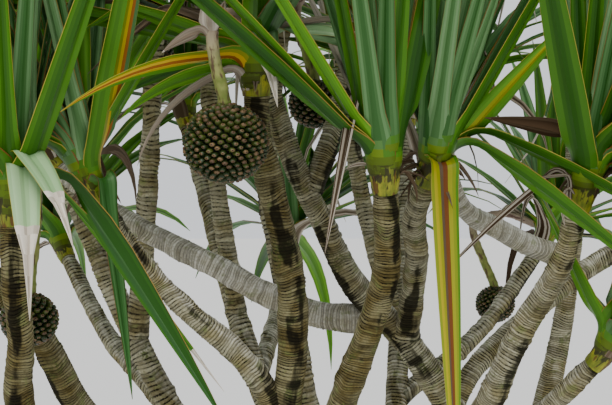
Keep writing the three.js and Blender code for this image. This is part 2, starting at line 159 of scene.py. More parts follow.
# Boughs that show in the photograph: name, parent, share of the parent's length where it leaves, places that
# it passes, tip, radius at the base and at the tip, and the heading of its dark rain streak
SEEN_BOUGHS = (
    ("front", "trunk", 0.96,
     [(-0.227, -0.45, 1.24), (-0.224, -0.7, 1.635), (-0.21, -0.745, 1.776), (-0.218, -0.79, 1.943),
      (-0.249, -0.825, 2.099), (-0.269, -0.84, 2.183), (-0.286, -0.855, 2.238)],
     (-0.289, -0.87, 2.335), (0.044, 0.028), -80),
    ("front_left", "front", 0.56,
     [(-0.295, -0.735, 1.704), (-0.358, -0.755, 1.777), (-0.444, -0.785, 1.853), (-0.54, -0.82, 1.958)],
     (-0.628, -0.86, 2.095), (0.029, 0.02), -20),
    ("front_mid", "front", 0.27,
     [(-0.097, -0.7, 1.635), (-0.036, -0.8, 1.818), (-0.004, -0.87, 1.95), (-0.003, -0.905, 2.02)],
     (-0.01, -0.95, 2.124), (0.04, 0.026), -55),
    ("left", "trunk", 0.73,
     [(-0.563, -0.5, 1.418), (-0.732, -0.57, 1.617), (-0.798, -0.63, 1.765), (-0.891, -0.69, 1.9)],
     (-1.003, -0.8, 2.106), (0.042, 0.027), -140),
    ("left_upright", "left", 0.55,
     [(-0.77, -0.78, 1.53), (-0.811, -0.86, 1.657), (-0.795, -0.935, 1.8), (-0.797, -0.975, 1.92)],
     (-0.8, -1.0, 2.053), (0.034, 0.027), -100),
    ("centre", "trunk", 0.84,
     [(0.221, -0.45, 1.508), (0.166, -0.5, 1.607), (0.069, -0.525, 1.755), (-0.069, -0.57, 1.911),
      (-0.144, -0.605, 2.061), (-0.216, -0.635, 2.21)],
     (-0.283, -0.68, 2.432), (0.046, 0.023), -130),
    ("centre_inner", "centre", 0.825, [(-0.135, -0.61, 2.211), (-0.111, -0.6, 2.285)],
     (-0.07, -0.59, 2.465), (0.026, 0.022), -30),
    ("front_right", "centre", 0.602, [(0.072, -0.6, 1.866), (0.079, -0.67, 1.977), (0.067, -0.74, 2.064)],
     (0.091, -0.81, 2.146), (0.03, 0.026), -95),
    ("level", "centre", 0.639,
     [(-0.053, -0.53, 1.816), (-0.165, -0.5, 1.829), (-0.279, -0.47, 1.873), (-0.397, -0.45, 1.937),
      (-0.638, -0.39, 2.056)],
     (-0.813, -0.33, 2.184), (0.034, 0.024), 90),
    ("right", "centre", 0.44, [(0.249, -0.66, 1.63), (0.314, -0.76, 1.814), (0.383, -0.845, 1.959)],
     (0.413, -0.9, 2.084), (0.035, 0.023), -66),
    ("right_low", "centre", 0.37, [(0.405, -0.63, 1.626)], (0.487, -0.69, 1.722), (0.03, 0.022), 10),
    ("right_tall", "trunk", 0.88, [(0.44, 0.24, 1.29), (0.594, 0.3, 1.74)],
     (0.64, 0.3, 2.64), (0.044, 0.022), 60),
    ("right_inner", "right_tall", 0.655, [(0.488, 0.24, 1.971), (0.39, 0.2, 2.019), (0.265, 0.15, 2.098)],
     (0.205, 0.1, 2.308), (0.034, 0.025), 90),
    ("right_outer", "trunk", 0.9, [(0.236, -0.2, 1.606), (0.373, -0.17, 1.755), (0.6, -0.12, 1.93)],
     (0.89, -0.06, 2.06), (0.034, 0.024), 20),
)

# Bud scars that show: share of the bough's length, angle round it in radians, radius, and if it has a hole
SEEN_KNOBS = {
    "front_mid": [(0.45, 4.6, 0.012, True), (0.3, 4.2, 0.009, False)],
    "front": [(0.8, 5.4, 0.013, True)],
}

# A bough that the photograph doesn't reach
UNSEEN_BOUGHS = (
    ("top", "trunk", 1, [(-0.17, -0.05, 1.46), (-0.232, -0.06, 1.88), (-0.29, -0.08, 2.24)],
     (-0.2, -0.12, 2.86), (0.05, 0.027), 150),
)

# The back of the crown: each main bough forks twice, into a low outer bough and a high inner one.
BACK_BOUGHS = (("back_right", 80, 0.75), ("back", 127, 0.93), ("back_left", 174, 0.83))
BACK_MAIN = Values(turn=0, reach=0.95, height=2.35, radius=(0.043, 0.027))
BACK_LOW = Values(turn=-24, reach=1.08, height=1.92, at=0.5, radius=(0.03, 0.023))
BACK_HIGH = Values(turn=18, reach=0.6, height=2.65, at=0.62, radius=(0.03, 0.024))
BACK_KNEE = Values(run=0.58, rise=0.44)

# Fruits: the head that each hangs from, how far out and how far down it hangs, and its radius
FRUITS = (
    ("front", (-0.06, -0.105), 0.152, 0.09),
    ("centre_inner", (-0.11, 0.094), 0.184, 0.064),
    ("left_upright", (0.0, 0.218), 0.278, 0.065),
    ("back_right_low", (-0.18, 0.07), 0.21, 0.068),
    ("back_high", (-0.15, -0.02), 0.17, 0.07),
    ("right_outer", (0.11, -0.04), 0.19, 0.08),
    ("back_left", (-0.12, 0.02), 0.2, 0.078),
)
SEEN_FRUITS = ("front", "centre_inner", "left_upright")

# Leaves that show in the photograph, by head: the share of its stem where each leaves it, its heading and
# rise there, its bend, length, width and look, and for some its twist, its fold and the share of it that is
# dry. A fold is the share of the leaf before it, its angle and its length. Angles are in degrees, and a
# heading of 0 is to the right, 90 away and 180 to the left.
SEEN_LEAVES = {
    "left_upright": (
        (0.3, -45, 60, 4, 0.93, 0.066, "deep"),
        (0.3, -60, 76, 40, 0.46, 0.074, "faded", 0, (0.18, 91, 0.03), 0.34),
        (0.2, -75, 80, 50, 0.5, 0.076, "faded", 0, (0.15, 112, 0.035), 0.4),
        (0.2, -20, 24, 4, 0.78, 0.08, "two-tone", -75, (0.1, 77, 0.1)),
        (0.15, -10, 20, 4, 0.68, 0.04, "mid", -60, (0.06, 68, 0.1), 0.16),
        (0.5, 60, 82, 8, 0.9, 0.036, "grey"),
        (0.55, -75, 84, 3, 0.9, 0.034, "dusty"),
        (0.45, -100, 80, 3, 0.9, 0.036, "grey"),
        (0.5, 20, 80, 8, 0.9, 0.05, "dusty"),
        (0.55, 110, 76, 5, 0.9, 0.036, "grey"),
        (0.6, 150, 78, 4, 0.85, 0.05, "dusty"),
        (0.6, 35, 72, 5, 0.85, 0.045, "grey"),
        (0.45, -170, 66, 8, 0.9, 0.036, "grey"),
    ),
    "front_left": (
        (0.3, -60, 63, 3, 0.93, 0.074, "gold edge"),
        (0.4, -30, 55, 6, 0.8, 0.05, "mid"),
        (0.05, -45, -10, 3, 0.56, 0.05, "grey", 0, (0.03, 67, 0.05)),
        (0.5, 150, 62, 15, 0.8, 0.066, "grey", 40),
        (0.5, 80, 76, 8, 0.85, 0.04, "dusty"),
        (0.45, -110, 70, 6, 0.85, 0.036, "grey"),
    ),
    "front": (
        (0.35, 190, 20, 6, 0.42, 0.05, "fresh", 55, (0.62, 46, 0.05)),
        (0.3, 178, 16, 14, 0.8, 0.056, "fresh", 60),
        (0.22, 214, -2, 34, 0.51, 0.052, "golden", 54),
        (0.16, 178, 2, 40, 0.34, 0.05, "mid", 50),
        (0.12, 186, -4, 44, 0.34, 0.05, "fresh", 50),
        (0.08, 200, -15, 62, 0.38, 0.03, "straw", 50),
        (0.5, 172, 38, 6, 0.9, 0.07, "deep", 50),
        (0.4, -78, 24, 6, 0.34, 0.07, "dusty", 0, (0.16, 68, 0.05), 0.42),
        (0.5, -20, 8, 44, 0.32, 0.06, "pale", 40, None, 0.3),
        (0.5, -24, 4, 60, 0.38, 0.06, "pale", 50, None, 0.36),
        (0.52, -18, 18, 44, 0.32, 0.024, "straw", -40),
        (0.5, 186, 20, 10, 0.44, 0.03, "brown", 50, (0.38, 55, 0.05)),
    ),
    "centre": (
        (0.3, 185, 20, 75, 0.85, 0.026, "brown"),
        (0.3, -150, 55, 10, 0.9, 0.066, "mid"),
        (0.3, -10, 50, 20, 0.9, 0.066, "deep"),
    ),
    "front_mid": (
        (0.36, -60, 72, 4, 0.93, 0.068, "deep"),
        (0.3, -150, 38, 5, 0.93, 0.066, "deep", 20),
        (0.34, -146, 41, 4, 0.93, 0.04, "mid", 10),
        (0.4, -135, 48, 4, 0.93, 0.046, "fresh"),
        (0.45, -120, 69, 6, 0.9, 0.036, "mid"),
        (0.55, 110, 70, 5, 0.9, 0.036, "grey"),
        (0.6, 80, 82, 5, 0.9, 0.036, "dusty"),
        (0.55, 130, 62, 8, 0.9, 0.03, "dusty"),
        (0.6, 50, 76, 5, 0.85, 0.04, "grey"),
        (0.42, -100, 82, 4, 0.8, 0.04, "mid"),
        (0.5, -75, 84, 4, 0.8, 0.036, "grey"),
        (0.5, 135, 58, 3, 0.6, 0.034, "straw"),
        (0.5, -128, 72, 2, 0.5, 0.036, "strap", 0, (0.2, 144, 0.03)),
    ),
    "front_right": (
        (0.4, -50, 69, 4, 0.93, 0.05, "dusty"),
        (0.45, -90, 78, 4, 0.9, 0.05, "fresh"),
        (0.3, -30, 45, 2, 0.47, 0.058, "striped", -60),
        (0.14, -30, 50, 8, 0.72, 0.08, "mid", -50, (0.05, 83, 0.12)),
        (0.24, -22, 44, 8, 0.75, 0.06, "deep", -40, (0.07, 68, 0.12)),
        (0.16, -72, 35, 3, 0.84, 0.066, "turning", 0, (0.025, 118, 0.06)),
        (0.2, -150, 66, 4, 0.2, 0.03, "dead", 60),
        (0.5, -70, 80, 4, 0.8, 0.05, "grey"),
    ),
    "right": (
        (0.36, -110, 42, 4, 0.93, 0.074, "deep"),
        (0.4, -30, 56, 4, 0.9, 0.066, "fresh"),
        (0.5, 60, 76, 6, 0.9, 0.045, "dusty"),
        (0.5, 75, 80, 4, 0.85, 0.036, "dusty"),
        (0.5, 100, 72, 6, 0.9, 0.036, "grey"),
        (0.45, -45, 74, 4, 0.9, 0.045, "dusty"),
        (0.66, 180, 11, 6, 0.25, 0.06, "brown", 50),
        (0.2, 165, -4, 12, 0.42, 0.03, "strap", 30, (0.1, 33, 0.03)),
    ),
    "right_low": (
        (0.3, -150, 60, 4, 0.4, 0.066, "fresh"),
        (0.4, -60, 60, 8, 0.6, 0.066, "mid"),
        (0.35, 170, 66, 8, 0.6, 0.066, "dusty"),
    ),
}

# Dried bracts that show on the stalk of a fruit, in the same form, how many others each stalk has, and how
# many frayed strips hang from the foot of a head
SEEN_BRACTS = {
    "front": (
        (0.62, 186, -20, 24, 0.12, 0.034, "straw", 60),
        (0.58, -100, 70, 20, 0.09, 0.05, "straw"),
        (0.54, -60, 60, 30, 0.07, 0.04, "dead"),
    ),
}
BRACTS = 2
FRAYED = {"front_right": 22, "right": 6, "front": 5, "front_left": 4, "left_upright": 3, "front_mid": 3}

# Camera and studio. The camera looks level along +Y.
CAMERA_PLACE = (-0.18, -4.05, 2.1)
CAMERA_LENS = 85
FLOOR_SIZE = 160
SUN = Values(energy=2.8, softness=35, tilt=(32, -12, 0), colour=(1.0, 0.98, 0.94))
SKY = (0.93, 0.96, 1.0, 1)

UP = np.array([0.0, 0.0, 1.0])
TAU = 2 * pi
CURVE_STEPS = 60
CREASE = Values(leaf=40, drupe=48)  # degrees between faces from which their edge is sharp


def unit(v):
    """Vectors of length one, along the last axis."""
    return v / np.linalg.norm(v, axis=-1, keepdims=True)


def mix(a, b, share):
    return a + (b - a) * share


def smooth(share):
    """Rises from 0 to 1 without a corner, and stays there."""
    share = np.clip(share, 0, 1)
    return share * share * (3 - 2 * share)


def smooth_curve(points):
    """Places along the centripetal curve through some points."""
    p = np.array(points, float)
    p = np.vstack([2 * p[0] - p[1], p, 2 * p[-1] - p[-2]])
    share = np.linspace(0, 1, CURVE_STEPS, endpoint=False)[:, None]
    places = []
    for a, b, c, d in zip(p, p[1:], p[2:], p[3:]):
        ab, bc, cd = (sqrt(np.linalg.norm(v)) for v in (b - a, c - b, d - c))
        leave = ((b - a) / ab - (c - a) / (ab + bc) + (c - b) / bc) * bc
        arrive = ((c - b) / bc - (d - b) / (bc + cd) + (d - c) / cd) * bc
        square = 3 * (c - b) - 2 * leave - arrive
        cube = 2 * (b - c) + leave + arrive
        places.append(b + leave * share + square * share**2 + cube * share**3)
    return np.vstack([*places, p[-2:-1]])


def quadratic_curve(a, b, c):
    share = np.linspace(0, 1, CURVE_STEPS)[:, None]
    return a * (1 - share) ** 2 + b * 2 * share * (1 - share) + c * share**2


class Route:
    """A line of places that is walked by its length."""

    def __init__(self, places):
        self.places = places
        steps = np.linalg.norm(np.diff(places, axis=0), axis=1)
        self.reached = np.concatenate([[0], np.cumsum(steps)])
        self.length = self.reached[-1]

    def at(self, share):
        distance = np.clip(share, 0, 1) * self.length
        return np.stack([np.interp(distance, self.reached, self.places[:, k]) for k in range(3)], axis=-1)

    def along(self, share):
        share = np.asarray(share, float)
        step = 0.01
        return unit(self.at(share + step) - self.at(share - step))


def carried(tangents, first):
    """Carries a side direction along a line without twist. Returns it and the third direction."""
    sides = np.empty_like(tangents)
    side = np.array(first, float)
    for i, tangent in enumerate(tangents):
        side = unit(side - tangent * side.dot(tangent))
        sides[i] = side
    return sides, np.cross(tangents, sides)


def drift(rng, distance, spacing, size):
    """A slow random change along a line."""
    place = distance / spacing
    knots = rng.normal(0, size, int(place.max()) + 3)
    before = place.astype(int)
    return mix(knots[before], knots[before + 1], smooth(place - before))


def ripples(rng, distance, angle, waves, spacing, size):
    """A smooth random field along a limb and round it."""
    field = np.zeros((len(distance), len(angle)))
    for wave in waves:
        for turn in (np.cos, np.sin):
            field += drift(rng, distance, spacing, size / wave)[:, None] * turn(wave * angle)
    return field


def ring_faces(rows, columns):
    """The faces between rings of points, each joined to the next."""
    row, column = np.meshgrid(np.arange(rows - 1), np.arange(columns), indexing="ij")
    a = row * columns + column
    b = row * columns + (column + 1) % columns
    return np.stack([a, b, b + columns, a + columns], axis=-1).reshape(-1, 4)


def placed(name, data):
    """A new object of the scene."""
    made = bpy.data.objects.new(name, data)
    bpy.context.scene.collection.objects.link(made)
    return made


def rings_round(route, share, sides, first):
    """Angles round a line, and the directions along it and outward at shares of its length."""
    angle = np.linspace(0, TAU, sides, endpoint=False)
    tangent = route.along(share)
    side, third = carried(tangent, first)
    outward = side[:, None] * np.cos(angle)[:, None] + third[:, None] * np.sin(angle)[:, None]
    return angle, tangent, outward


class Shape:
    """The points and faces of one piece, with the look of each face and the fields at each point."""

    def __init__(self):
        self.points, self.corners, self.looks, self.fields = [], [], [], {}
        self.count = 0

    def add(self, points, groups, **fields):
        """Adds points and groups of (faces, look), whose corners count from the first of these points."""
        points = np.asarray(points, float).reshape(-1, 3)
        for corners, look in groups:
            corners = np.atleast_2d(corners)
            self.corners.append(corners + self.count)
            self.looks.append(np.broadcast_to(look, len(corners)))
        for name, values in fields.items():
            self.fields.setdefault(name, []).append(np.asarray(values, np.float32).ravel())
        self.points.append(points)
        self.count += len(points)

    def add_rings(self, points, angle, radius, along, shift=0, **fields):
        """Adds rings of points, closed at both ends, with the grain that the patterns on them follow."""
        rows, sides = radius.shape
        along = np.broadcast_to(along[:, None], radius.shape)
        grain = np.stack([np.cos(angle) * radius, np.sin(angle) * radius, along], axis=-1)
        ends = [(np.arange(sides)[::-1], 0), (np.arange((rows - 1) * sides, rows * sides), 0)]
        fields = {name: np.broadcast_to(values, radius.shape) for name, values in fields.items()}
        self.add(points, [(ring_faces(rows, sides), 0), *ends], grain=grain + shift, **fields)

    def build(self, name, materials, node, crease=None):
        """Makes the piece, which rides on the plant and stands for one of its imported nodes."""
        mesh = bpy.data.meshes.new(name)
        loops = np.concatenate([c.ravel() for c in self.corners]).astype(np.int32)
        sizes = np.concatenate([np.full(len(c), c.shape[1]) for c in self.corners])
        mesh.vertices.add(self.count)
        mesh.vertices.foreach_set("co", np.concatenate(self.points).ravel())
        mesh.loops.add(len(loops))
        mesh.loops.foreach_set("vertex_index", loops)
        mesh.polygons.add(len(sizes))
        mesh.polygons.foreach_set("loop_start", (np.cumsum(sizes) - sizes).astype(np.int32))
        used, looks = np.unique(np.concatenate(self.looks), return_inverse=True)
        mesh.polygons.foreach_set("material_index", looks.ravel().astype(np.int32))
        for field, values in self.fields.items():
            values = np.concatenate(values)
            vector = len(values) == self.count * 3
            kind, key = ("FLOAT_VECTOR", "vector") if vector else ("FLOAT", "value")
            mesh.attributes.new(field, kind, "POINT").data.foreach_set(key, values)
        for number in used:
            mesh.materials.append(materials[number])
        mesh.update(calc_edges=True)
        mesh.validate()
        if crease:
            mesh.set_sharp_from_angle(angle=radians(crease))
        piece = placed(name, mesh)
        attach(piece, "root")
        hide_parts(node)


def screen_parts(code):
    """The red, green and blue of a screen code such as 3a5a1c, from 0 to 255."""
    return np.array([int(code[i : i + 2], 16) for i in (0, 2, 4)], float)


def colour(code):
    """The colour of a screen code, as a shader takes it."""
    parts = screen_parts(code) / 255
    return (*(p / 12.92 if p < 0.04045 else ((p + 0.055) / 1.055) ** 2.4 for p in parts), 1)


class Material:
    """A material and short ways to make its nodes."""

    def __init__(self, name, roughness, specular=0.3):
        self.made = bpy.data.materials.new(name)
        self.made.use_nodes = True
        self.tree = self.made.node_tree
        self.shader = self.tree.nodes["Principled BSDF"]
        self.shader.inputs["Roughness"].default_value = roughness
        self.shader.inputs["Specular IOR Level"].default_value = specular

    def node(self, kind, inputs, **settings):
        made = self.tree.nodes.new(kind)
        for name, value in settings.items():
            setattr(made, name, value)
        for key, value in inputs.items():
            if isinstance(value, bpy.types.NodeSocket):
                self.tree.links.new(value, made.inputs[key])
            else:
                made.inputs[key].default_value = value
        return made

    def field(self, name, output="Fac"):
        return self.node("ShaderNodeAttribute", {}, attribute_name=name).outputs[output]

    def noise(self, place, scale, detail, stretch=(1, 1, 1)):
        moved = self.node("ShaderNodeMapping", {"Vector": place, "Scale": stretch}).outputs[0]
        made = self.node("ShaderNodeTexNoise", {"Vector": moved, "Scale": scale, "Detail": detail})
        return made.outputs["Fac"]

    def maths(self, operation, *values):
        return self.node("ShaderNodeMath", dict(enumerate(values)), operation=operation).outputs[0]

    def times(self, a, b):
        return self.maths("MULTIPLY", a, b)

    def plus(self, a, b):
        return self.maths("ADD", a, b)

    def between(self, value, low, high, to_low=0.0, to_high=1.0):
        """Maps a value's range to another, and stays in it."""
        inputs = {0: value, 1: low, 2: high, 3: to_low, 4: to_high}
        return self.node("ShaderNodeMapRange", inputs, interpolation_type="SMOOTHSTEP").outputs[0]

    def mix(self, share, a, b, blend="MIX"):
        inputs = {"Factor": share, 6: a, 7: b}
        return self.node("ShaderNodeMix", inputs, data_type="RGBA", blend_type=blend).outputs[2]

    def lay(self, share, code, blend="MIX"):
        """Lays a colour over those laid so far, where a field tells."""
        self.base = self.mix(share, self.base, colour(code), blend)

    def finish(self, height, strength):
        """The finished material, in its layers of colour and with bumps a millimetre high."""
        self.tree.links.new(self.base, self.shader.inputs["Base Color"])
        bump = self.node("ShaderNodeBump", {"Height": height, "Strength": strength, "Distance": 0.001})
        self.tree.links.new(bump.outputs[0], self.shader.inputs["Normal"])
        return self.made


def plain(name, code, roughness, specular=0.3):
    """A material of one base colour, for the many small things that are joined."""
    material = Material(name, roughness, specular)
    material.shader.inputs["Base Color"].default_value = colour(code)
    return material.made


def bark_material(name, tan, grey, pale, stain_and_shade_amount=1.0, line_strength=1.0):
    """Bark with a dark line in each ring's groove that is partly painted shade, rain stains with painted
    shade on the underside, moss, lichen, and upper sides made pale by painted light.
    """
    m = Material(name, 0.9, 0.15)
    ring, grain = m.field("ring"), m.field("grain", "Vector")
    patches = m.noise(grain, 14, 4)
    fine = m.noise(grain, 170, 4)
    streaks = m.noise(grain, 42, 4, (1, 1, 0.3))
    m.base = m.mix(m.between(patches, 0.38, 0.62), colour(tan), colour(grey))
    # Painted light: faces that point up are laid paler, as if lit from above.
    upper = m.node("ShaderNodeSeparateXYZ", {0: m.node("ShaderNodeNewGeometry", {}).outputs["Normal"]})
    painted_top_light = m.times(m.between(upper.outputs["Z"], -0.1, 0.9), m.between(streaks, 0.35, 0.6))
    m.lay(painted_top_light, pale)
    own = m.node("ShaderNodeTexWhiteNoise", {"W": m.maths("FLOOR", ring)}, noise_dimensions="1D")
    m.lay(m.between(own.outputs["Value"], 0, 1, 0.0, 0.5), "5e5338", "MULTIPLY")
    m.lay(m.between(fine, 0.35, 0.7, 0.0, 0.5), "8d8264", "MULTIPLY")
    lichen = m.times(m.between(m.noise(grain, 34, 5), 0.55, 0.68), 0.55)
    m.lay(lichen, "76804a")
    moss = m.times(m.between(m.noise(grain, 11, 3), 0.56, 0.68), m.between(fine, 0.4, 0.6))
    m.lay(m.times(moss, 0.7 * stain_and_shade_amount), "4d5a2a")
    # The dark line in each ring's groove: partly the scar's own colour, partly painted shade in the groove.
    edge = m.maths("ABSOLUTE", m.maths("SUBTRACT", m.maths("FRACT", m.plus(ring, 0.5)), 0.5))
    ragged = m.plus(edge, m.between(fine, 0.3, 0.7, -0.1, 0.12))
    line = m.times(m.between(ragged, 0.1, 0.24, 1.0, 0.0), m.between(streaks, 0.35, 0.65, 1.0, 0.35))
    m.lay(m.times(line, line_strength), "17130b")
    torn = m.between(own.outputs["Value"], 0, 1, -0.14, 0.14)
    # This layer darkens the bark by its rain stains and by the painted shade on its underside.
    stain_and_shade_mask = m.plus(m.plus(m.field("stain"), torn), m.between(streaks, 0.25, 0.75, -0.45, 0.45))
    m.lay(m.between(stain_and_shade_mask, 0.25, 0.95, 0.0, 0.92 * stain_and_shade_amount), "34321c", "MULTIPLY")
    m.lay(m.field("scar"), "0d0b07")
    return m.finish(fine, 0.5)


def sheath_material():
    """The clasping leaf bases: yellow-green, veined, with brown streaks and grime where the leaves part."""
    m = Material("leaf sheath", 0.55, 0.3)
    grain = m.field("grain", "Vector")
    veins = m.noise(grain, 190, 2, (1, 1, 0.06))
    m.base = m.mix(m.between(m.noise(grain, 30, 4), 0.35, 0.65), colour("6c7618"), colour("a5a22a"))
    m.lay(m.between(m.field("up"), 0.25, 0.5), "3d6212")
    m.lay(m.between(veins, 0.35, 0.65, 0.0, 0.5), "55661a")
    rust = m.noise(grain, 75, 4, (1, 1, 0.3))
    m.lay(m.between(rust, 0.54, 0.62, 0.0, 0.85), "5c3414")
    grime = m.plus(m.noise(grain, 90, 5, (1, 1, 0.35)), m.times(m.field("stain"), 0.16))
    m.lay(m.between(grime, 0.58, 0.68, 0.0, 0.9), "262210")
    return m.finish(veins, 0.4)


def stalk_material():
    """A fruit's stalk: pinkish tan and scarred above, yellow-green below, with purple-brown streaks."""
    m = Material("fruit stalk", 0.6, 0.3)
    grain = m.field("grain", "Vector")
    fresh = m.mix(m.between(m.noise(grain, 40, 3), 0.3, 0.7), colour("75853a"), colour("9fa15c"))
    m.base = m.mix(m.between(m.field("down"), 0.45, 0.8, 1.0, 0.0), fresh, colour("a59180"))
    streaks = m.noise(grain, 120, 4, (1, 1, 0.25))
    m.lay(m.between(streaks, 0.52, 0.64, 0.0, 0.85), "5a3a34")
    return m.finish(streaks, 0.4)


BARK = bark_material("ringed bark", "948a62", "b6b296", "ece9da")
# A darker, more olive copy of the bark, for some of the boughs.
DARKER_BARK = bark_material("damp ringed bark", "75683c", "948d68", "c9c5a8")
DARKER_BOUGHS = ("front", "front_mid", "left", "left_upright")
SMOOTH_BARK = bark_material("smooth pale bark", "c2bda8", "d2cfc1", "efede4", 0.4, 0.55)
SMOOTH_BOUGHS = ("level", "right_inner")
SHEATH = sheath_material()
STALK = stalk_material()

# Colours of the leaves, each a plain base colour: families of tones from a dark one to a light one
FAMILIES = {
    "green": ("1b4604", "68a21c", 9, 0.42),
    "grey": ("27551c", "a2c292", 9, 0.45),
    "yellow": ("6a8412", "d4ae12", 6, 0.45),
    "dry": ("3a2916", "d8cfc0", 9, 0.8),
    "rust": ("6e3d14", "c0791f", 3, 0.6),
    "foot": ("38380e", "5f7814", 6, 0.5),
    "shade": ("4a7a1c", "5c8350", 4, 0.45),
    "edge": ("7f4a22", "aa9c3c", 3, 0.5),
}


def leaf_tones():
    """The leaves' materials, by family and number."""
    tones = {}
    for family, (dark, light, count, roughness) in FAMILIES.items():
        for number in range(count):
            parts = mix(screen_parts(dark), screen_parts(light), number / (count - 1))
            code = "".join(f"{round(part):02x}" for part in parts)
            tones[family, number] = plain(f"leaf {family} {number}", code, roughness, 0.2)
    return tones


TONES = leaf_tones()
LEAF_MATERIALS = list(TONES.values())
TONE_NUMBERS = {tone: number for number, tone in enumerate(TONES)}


def tone_number(tone, lighter=0):
    """The number of a tone such as green 3, or of a lighter one of its family."""
    family, number = tone.split()
    return TONE_NUMBERS[family, min(max(int(number) + lighter, 0), FAMILIES[family][2] - 1)]


# The lines along a leaf, as shares of its half width, where its tones change and its pleats and midrib lie
ACROSS = np.array([-1, -0.97, -0.76, -0.52, -0.26, 0, 0.26, 0.52, 0.76, 0.97, 1])
UNDER = ACROSS[-2:0:-1]
PROFILE = ((0, 0.26, 0.52, 0.76, 1), (-0.24, -0.1, 0, 0.01, -0.08))


def tones_of(side):
    """The tones across one side of a leaf, from words such as green 3 4 yellow 1."""
    tones = []
    for word in side.split():
        if word.isdigit():
            tones.append(f"{family} {word}")
        else:
            family = word
    return tones


def look(margin, upper, under, tip):
    """The tones across a leaf and at its tip. A side has eight, or four that are mirrored at the midrib."""
    upper, under = tones_of(upper), tones_of(under)
    upper, under = (side + side[::-1] if len(side) == 4 else side for side in (upper, under))
    return Values(strips=[margin, *upper, margin, margin, *under[::-1], margin], tip=tip)


# In most looks the tones across a side are lightest on the pleats and darkest beside the midrib: painted
# light on the pleats and painted shade in the midrib's fold, over the leaf's own green.
LEAF_LOOKS = {
    "deep": look("edge 2", "green 3 4 2 0", "green 4 4 2 1", "green 2"),
    "mid": look("edge 1", "green 4 5 3 2", "green 5 5 4 2", "dry 4"),
    "fresh": look("edge 2", "green 5 7 5 4", "green 6 7 5 4", "green 4"),
    "grey": look("edge 0", "grey 1 3 2 0", "grey 3 4 3 1", "dry 7"),
    "dusty": look("edge 0", "grey 2 4 3 1", "grey 4 5 3 2", "dry 5"),
    "pale": look("edge 2", "grey 6 7 7 6", "grey 5 6 6 5", "dry 8"),
    "faded": look("edge 2", "grey 6 7 7 6", "green 4 5 5 4", "dry 8"),
    "striped": look("edge 2", "green 4 5 6 yellow 2", "green 4 5 6 yellow 1", "rust 2"),
    "golden": look("edge 2", "green 5 yellow 1 3 4", "green 4 5 yellow 3 4 rust 0 yellow 4 1 green 5",
                   "rust 2"),
    # Painted shade: darker greens than the deep look; painted sky reflection: the grey tones on one half.
    "two-tone": look("edge 1", "green 0 1 0 0 grey 1 0 0 green 2", "green 0 1 0 0 grey 1 0 0 green 2",
                     "dry 3"),
    "gold edge": look("edge 1", "green 2 3 3 2", "green 3 4 3 4 yellow 0 3 rust 0 grey 1", "green 4"),
    "turning": look("edge 2", "yellow 1 3 2 dry 2 rust 0 yellow 2 1 green 5", "green 6 yellow 2 3 2",
                    "dry 2"),
    "dead": look("dry 1", "dry 4 5 4 2", "dry 5 6 4 2", "dry 4"),
    "strap": look("dry 2", "dry 7 1 6 2", "dry 7 2 7 1", "dry 4"),
    "brown": look("dry 2", "dry 1 1 2 1", "dry 1 2 1 1", "dry 1"),
    "straw": look("dry 4", "dry 5 6 6 5", "dry 5 6 5 4", "dry 7"),
}
LIVING = ("deep", "deep", "deep", "mid", "mid", "mid", "fresh", "fresh", "grey", "grey", "dusty")
HEART_LOOKS = ("deep", "grey", "grey", "dusty", "dusty")
DEAD = ("dead", "brown", "straw", "strap")

# The colours of a leaf's foot, from its stem on, until its own begin
FOOT_COLOURS = ("foot 1", "foot 2", "foot 3", "foot 4", "foot 5")
TO_OWN = {"green": ("yellow 0", "green 5", "green 4"), "grey": ("yellow 0", "shade 0", "shade 1", "shade 2")}


def make_trunk():
    """The trunk's line and radius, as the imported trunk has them."""
    lean_x, lean_y = TRUNK_LEAN
    places = smooth_curve([
        (0, 0, -0.06),
        (lean_x * 0.1, lean_y * 0.1, TRUNK_HEIGHT * 0.3),
        (lean_x * 0.7, lean_y * 0.6, TRUNK_HEIGHT * 0.7),
        (lean_x, lean_y, TRUNK_HEIGHT),
    ])
    route = Route(places)

    def radius_at(share):
        flare = FLARE.extra * np.exp(-share * route.length / FLARE.height)
        return mix(TRUNK_RADIUS.foot, TRUNK_RADIUS.top, share) + flare

    return Values(name="trunk", route=route, radius_at=radius_at, seen=True, streak=-70, knobs=[])


def make_bough(spec, limbs, seen):
    """A bough's line and radius, and the limb that it grows on."""
    name, parent, at, via, tip, (base, end), streak = spec
    route = Route(smooth_curve([limbs[parent].route.at(at), *via, tip]))

    def radius_at(share):
        collar = base * COLLAR.extra * np.exp(-share * route.length / COLLAR.length)
        return mix(base, end, share) + collar

    inside = limbs[parent].radius_at(at) * 0.5 / route.length
    return Values(
        name=name, route=route, radius_at=radius_at, inside=inside, seen=seen, streak=streak,
        knobs=SEEN_KNOBS.get(name, []),
    )


def back_boughs():
    """The boughs of the back, worked out from their headings, reaches and heights."""
    made = []

    def add(name, parent, at, start, rule, heading):
        angle = radians(heading + rule.turn)
        tip = np.array([rule.reach * cos(angle), rule.reach * sin(angle), rule.height])
        knee = mix(start, tip, BACK_KNEE.run)
        knee[2] = mix(start[2], tip[2], BACK_KNEE.rise)
        made.append((name, parent, at, [knee], tip, rule.radius, heading - 90))
        return Route(smooth_curve([start, knee, tip]))

    for name, heading, at in BACK_BOUGHS:
        main = add(name, "trunk", at, np.array([*TRUNK_LEAN, TRUNK_HEIGHT * at]), BACK_MAIN, heading)
        add(f"{name}_low", name, BACK_LOW.at, main.at(BACK_LOW.at), BACK_LOW, heading)
        add(f"{name}_high", name, BACK_HIGH.at, main.at(BACK_HIGH.at), BACK_HIGH, heading)
    return made


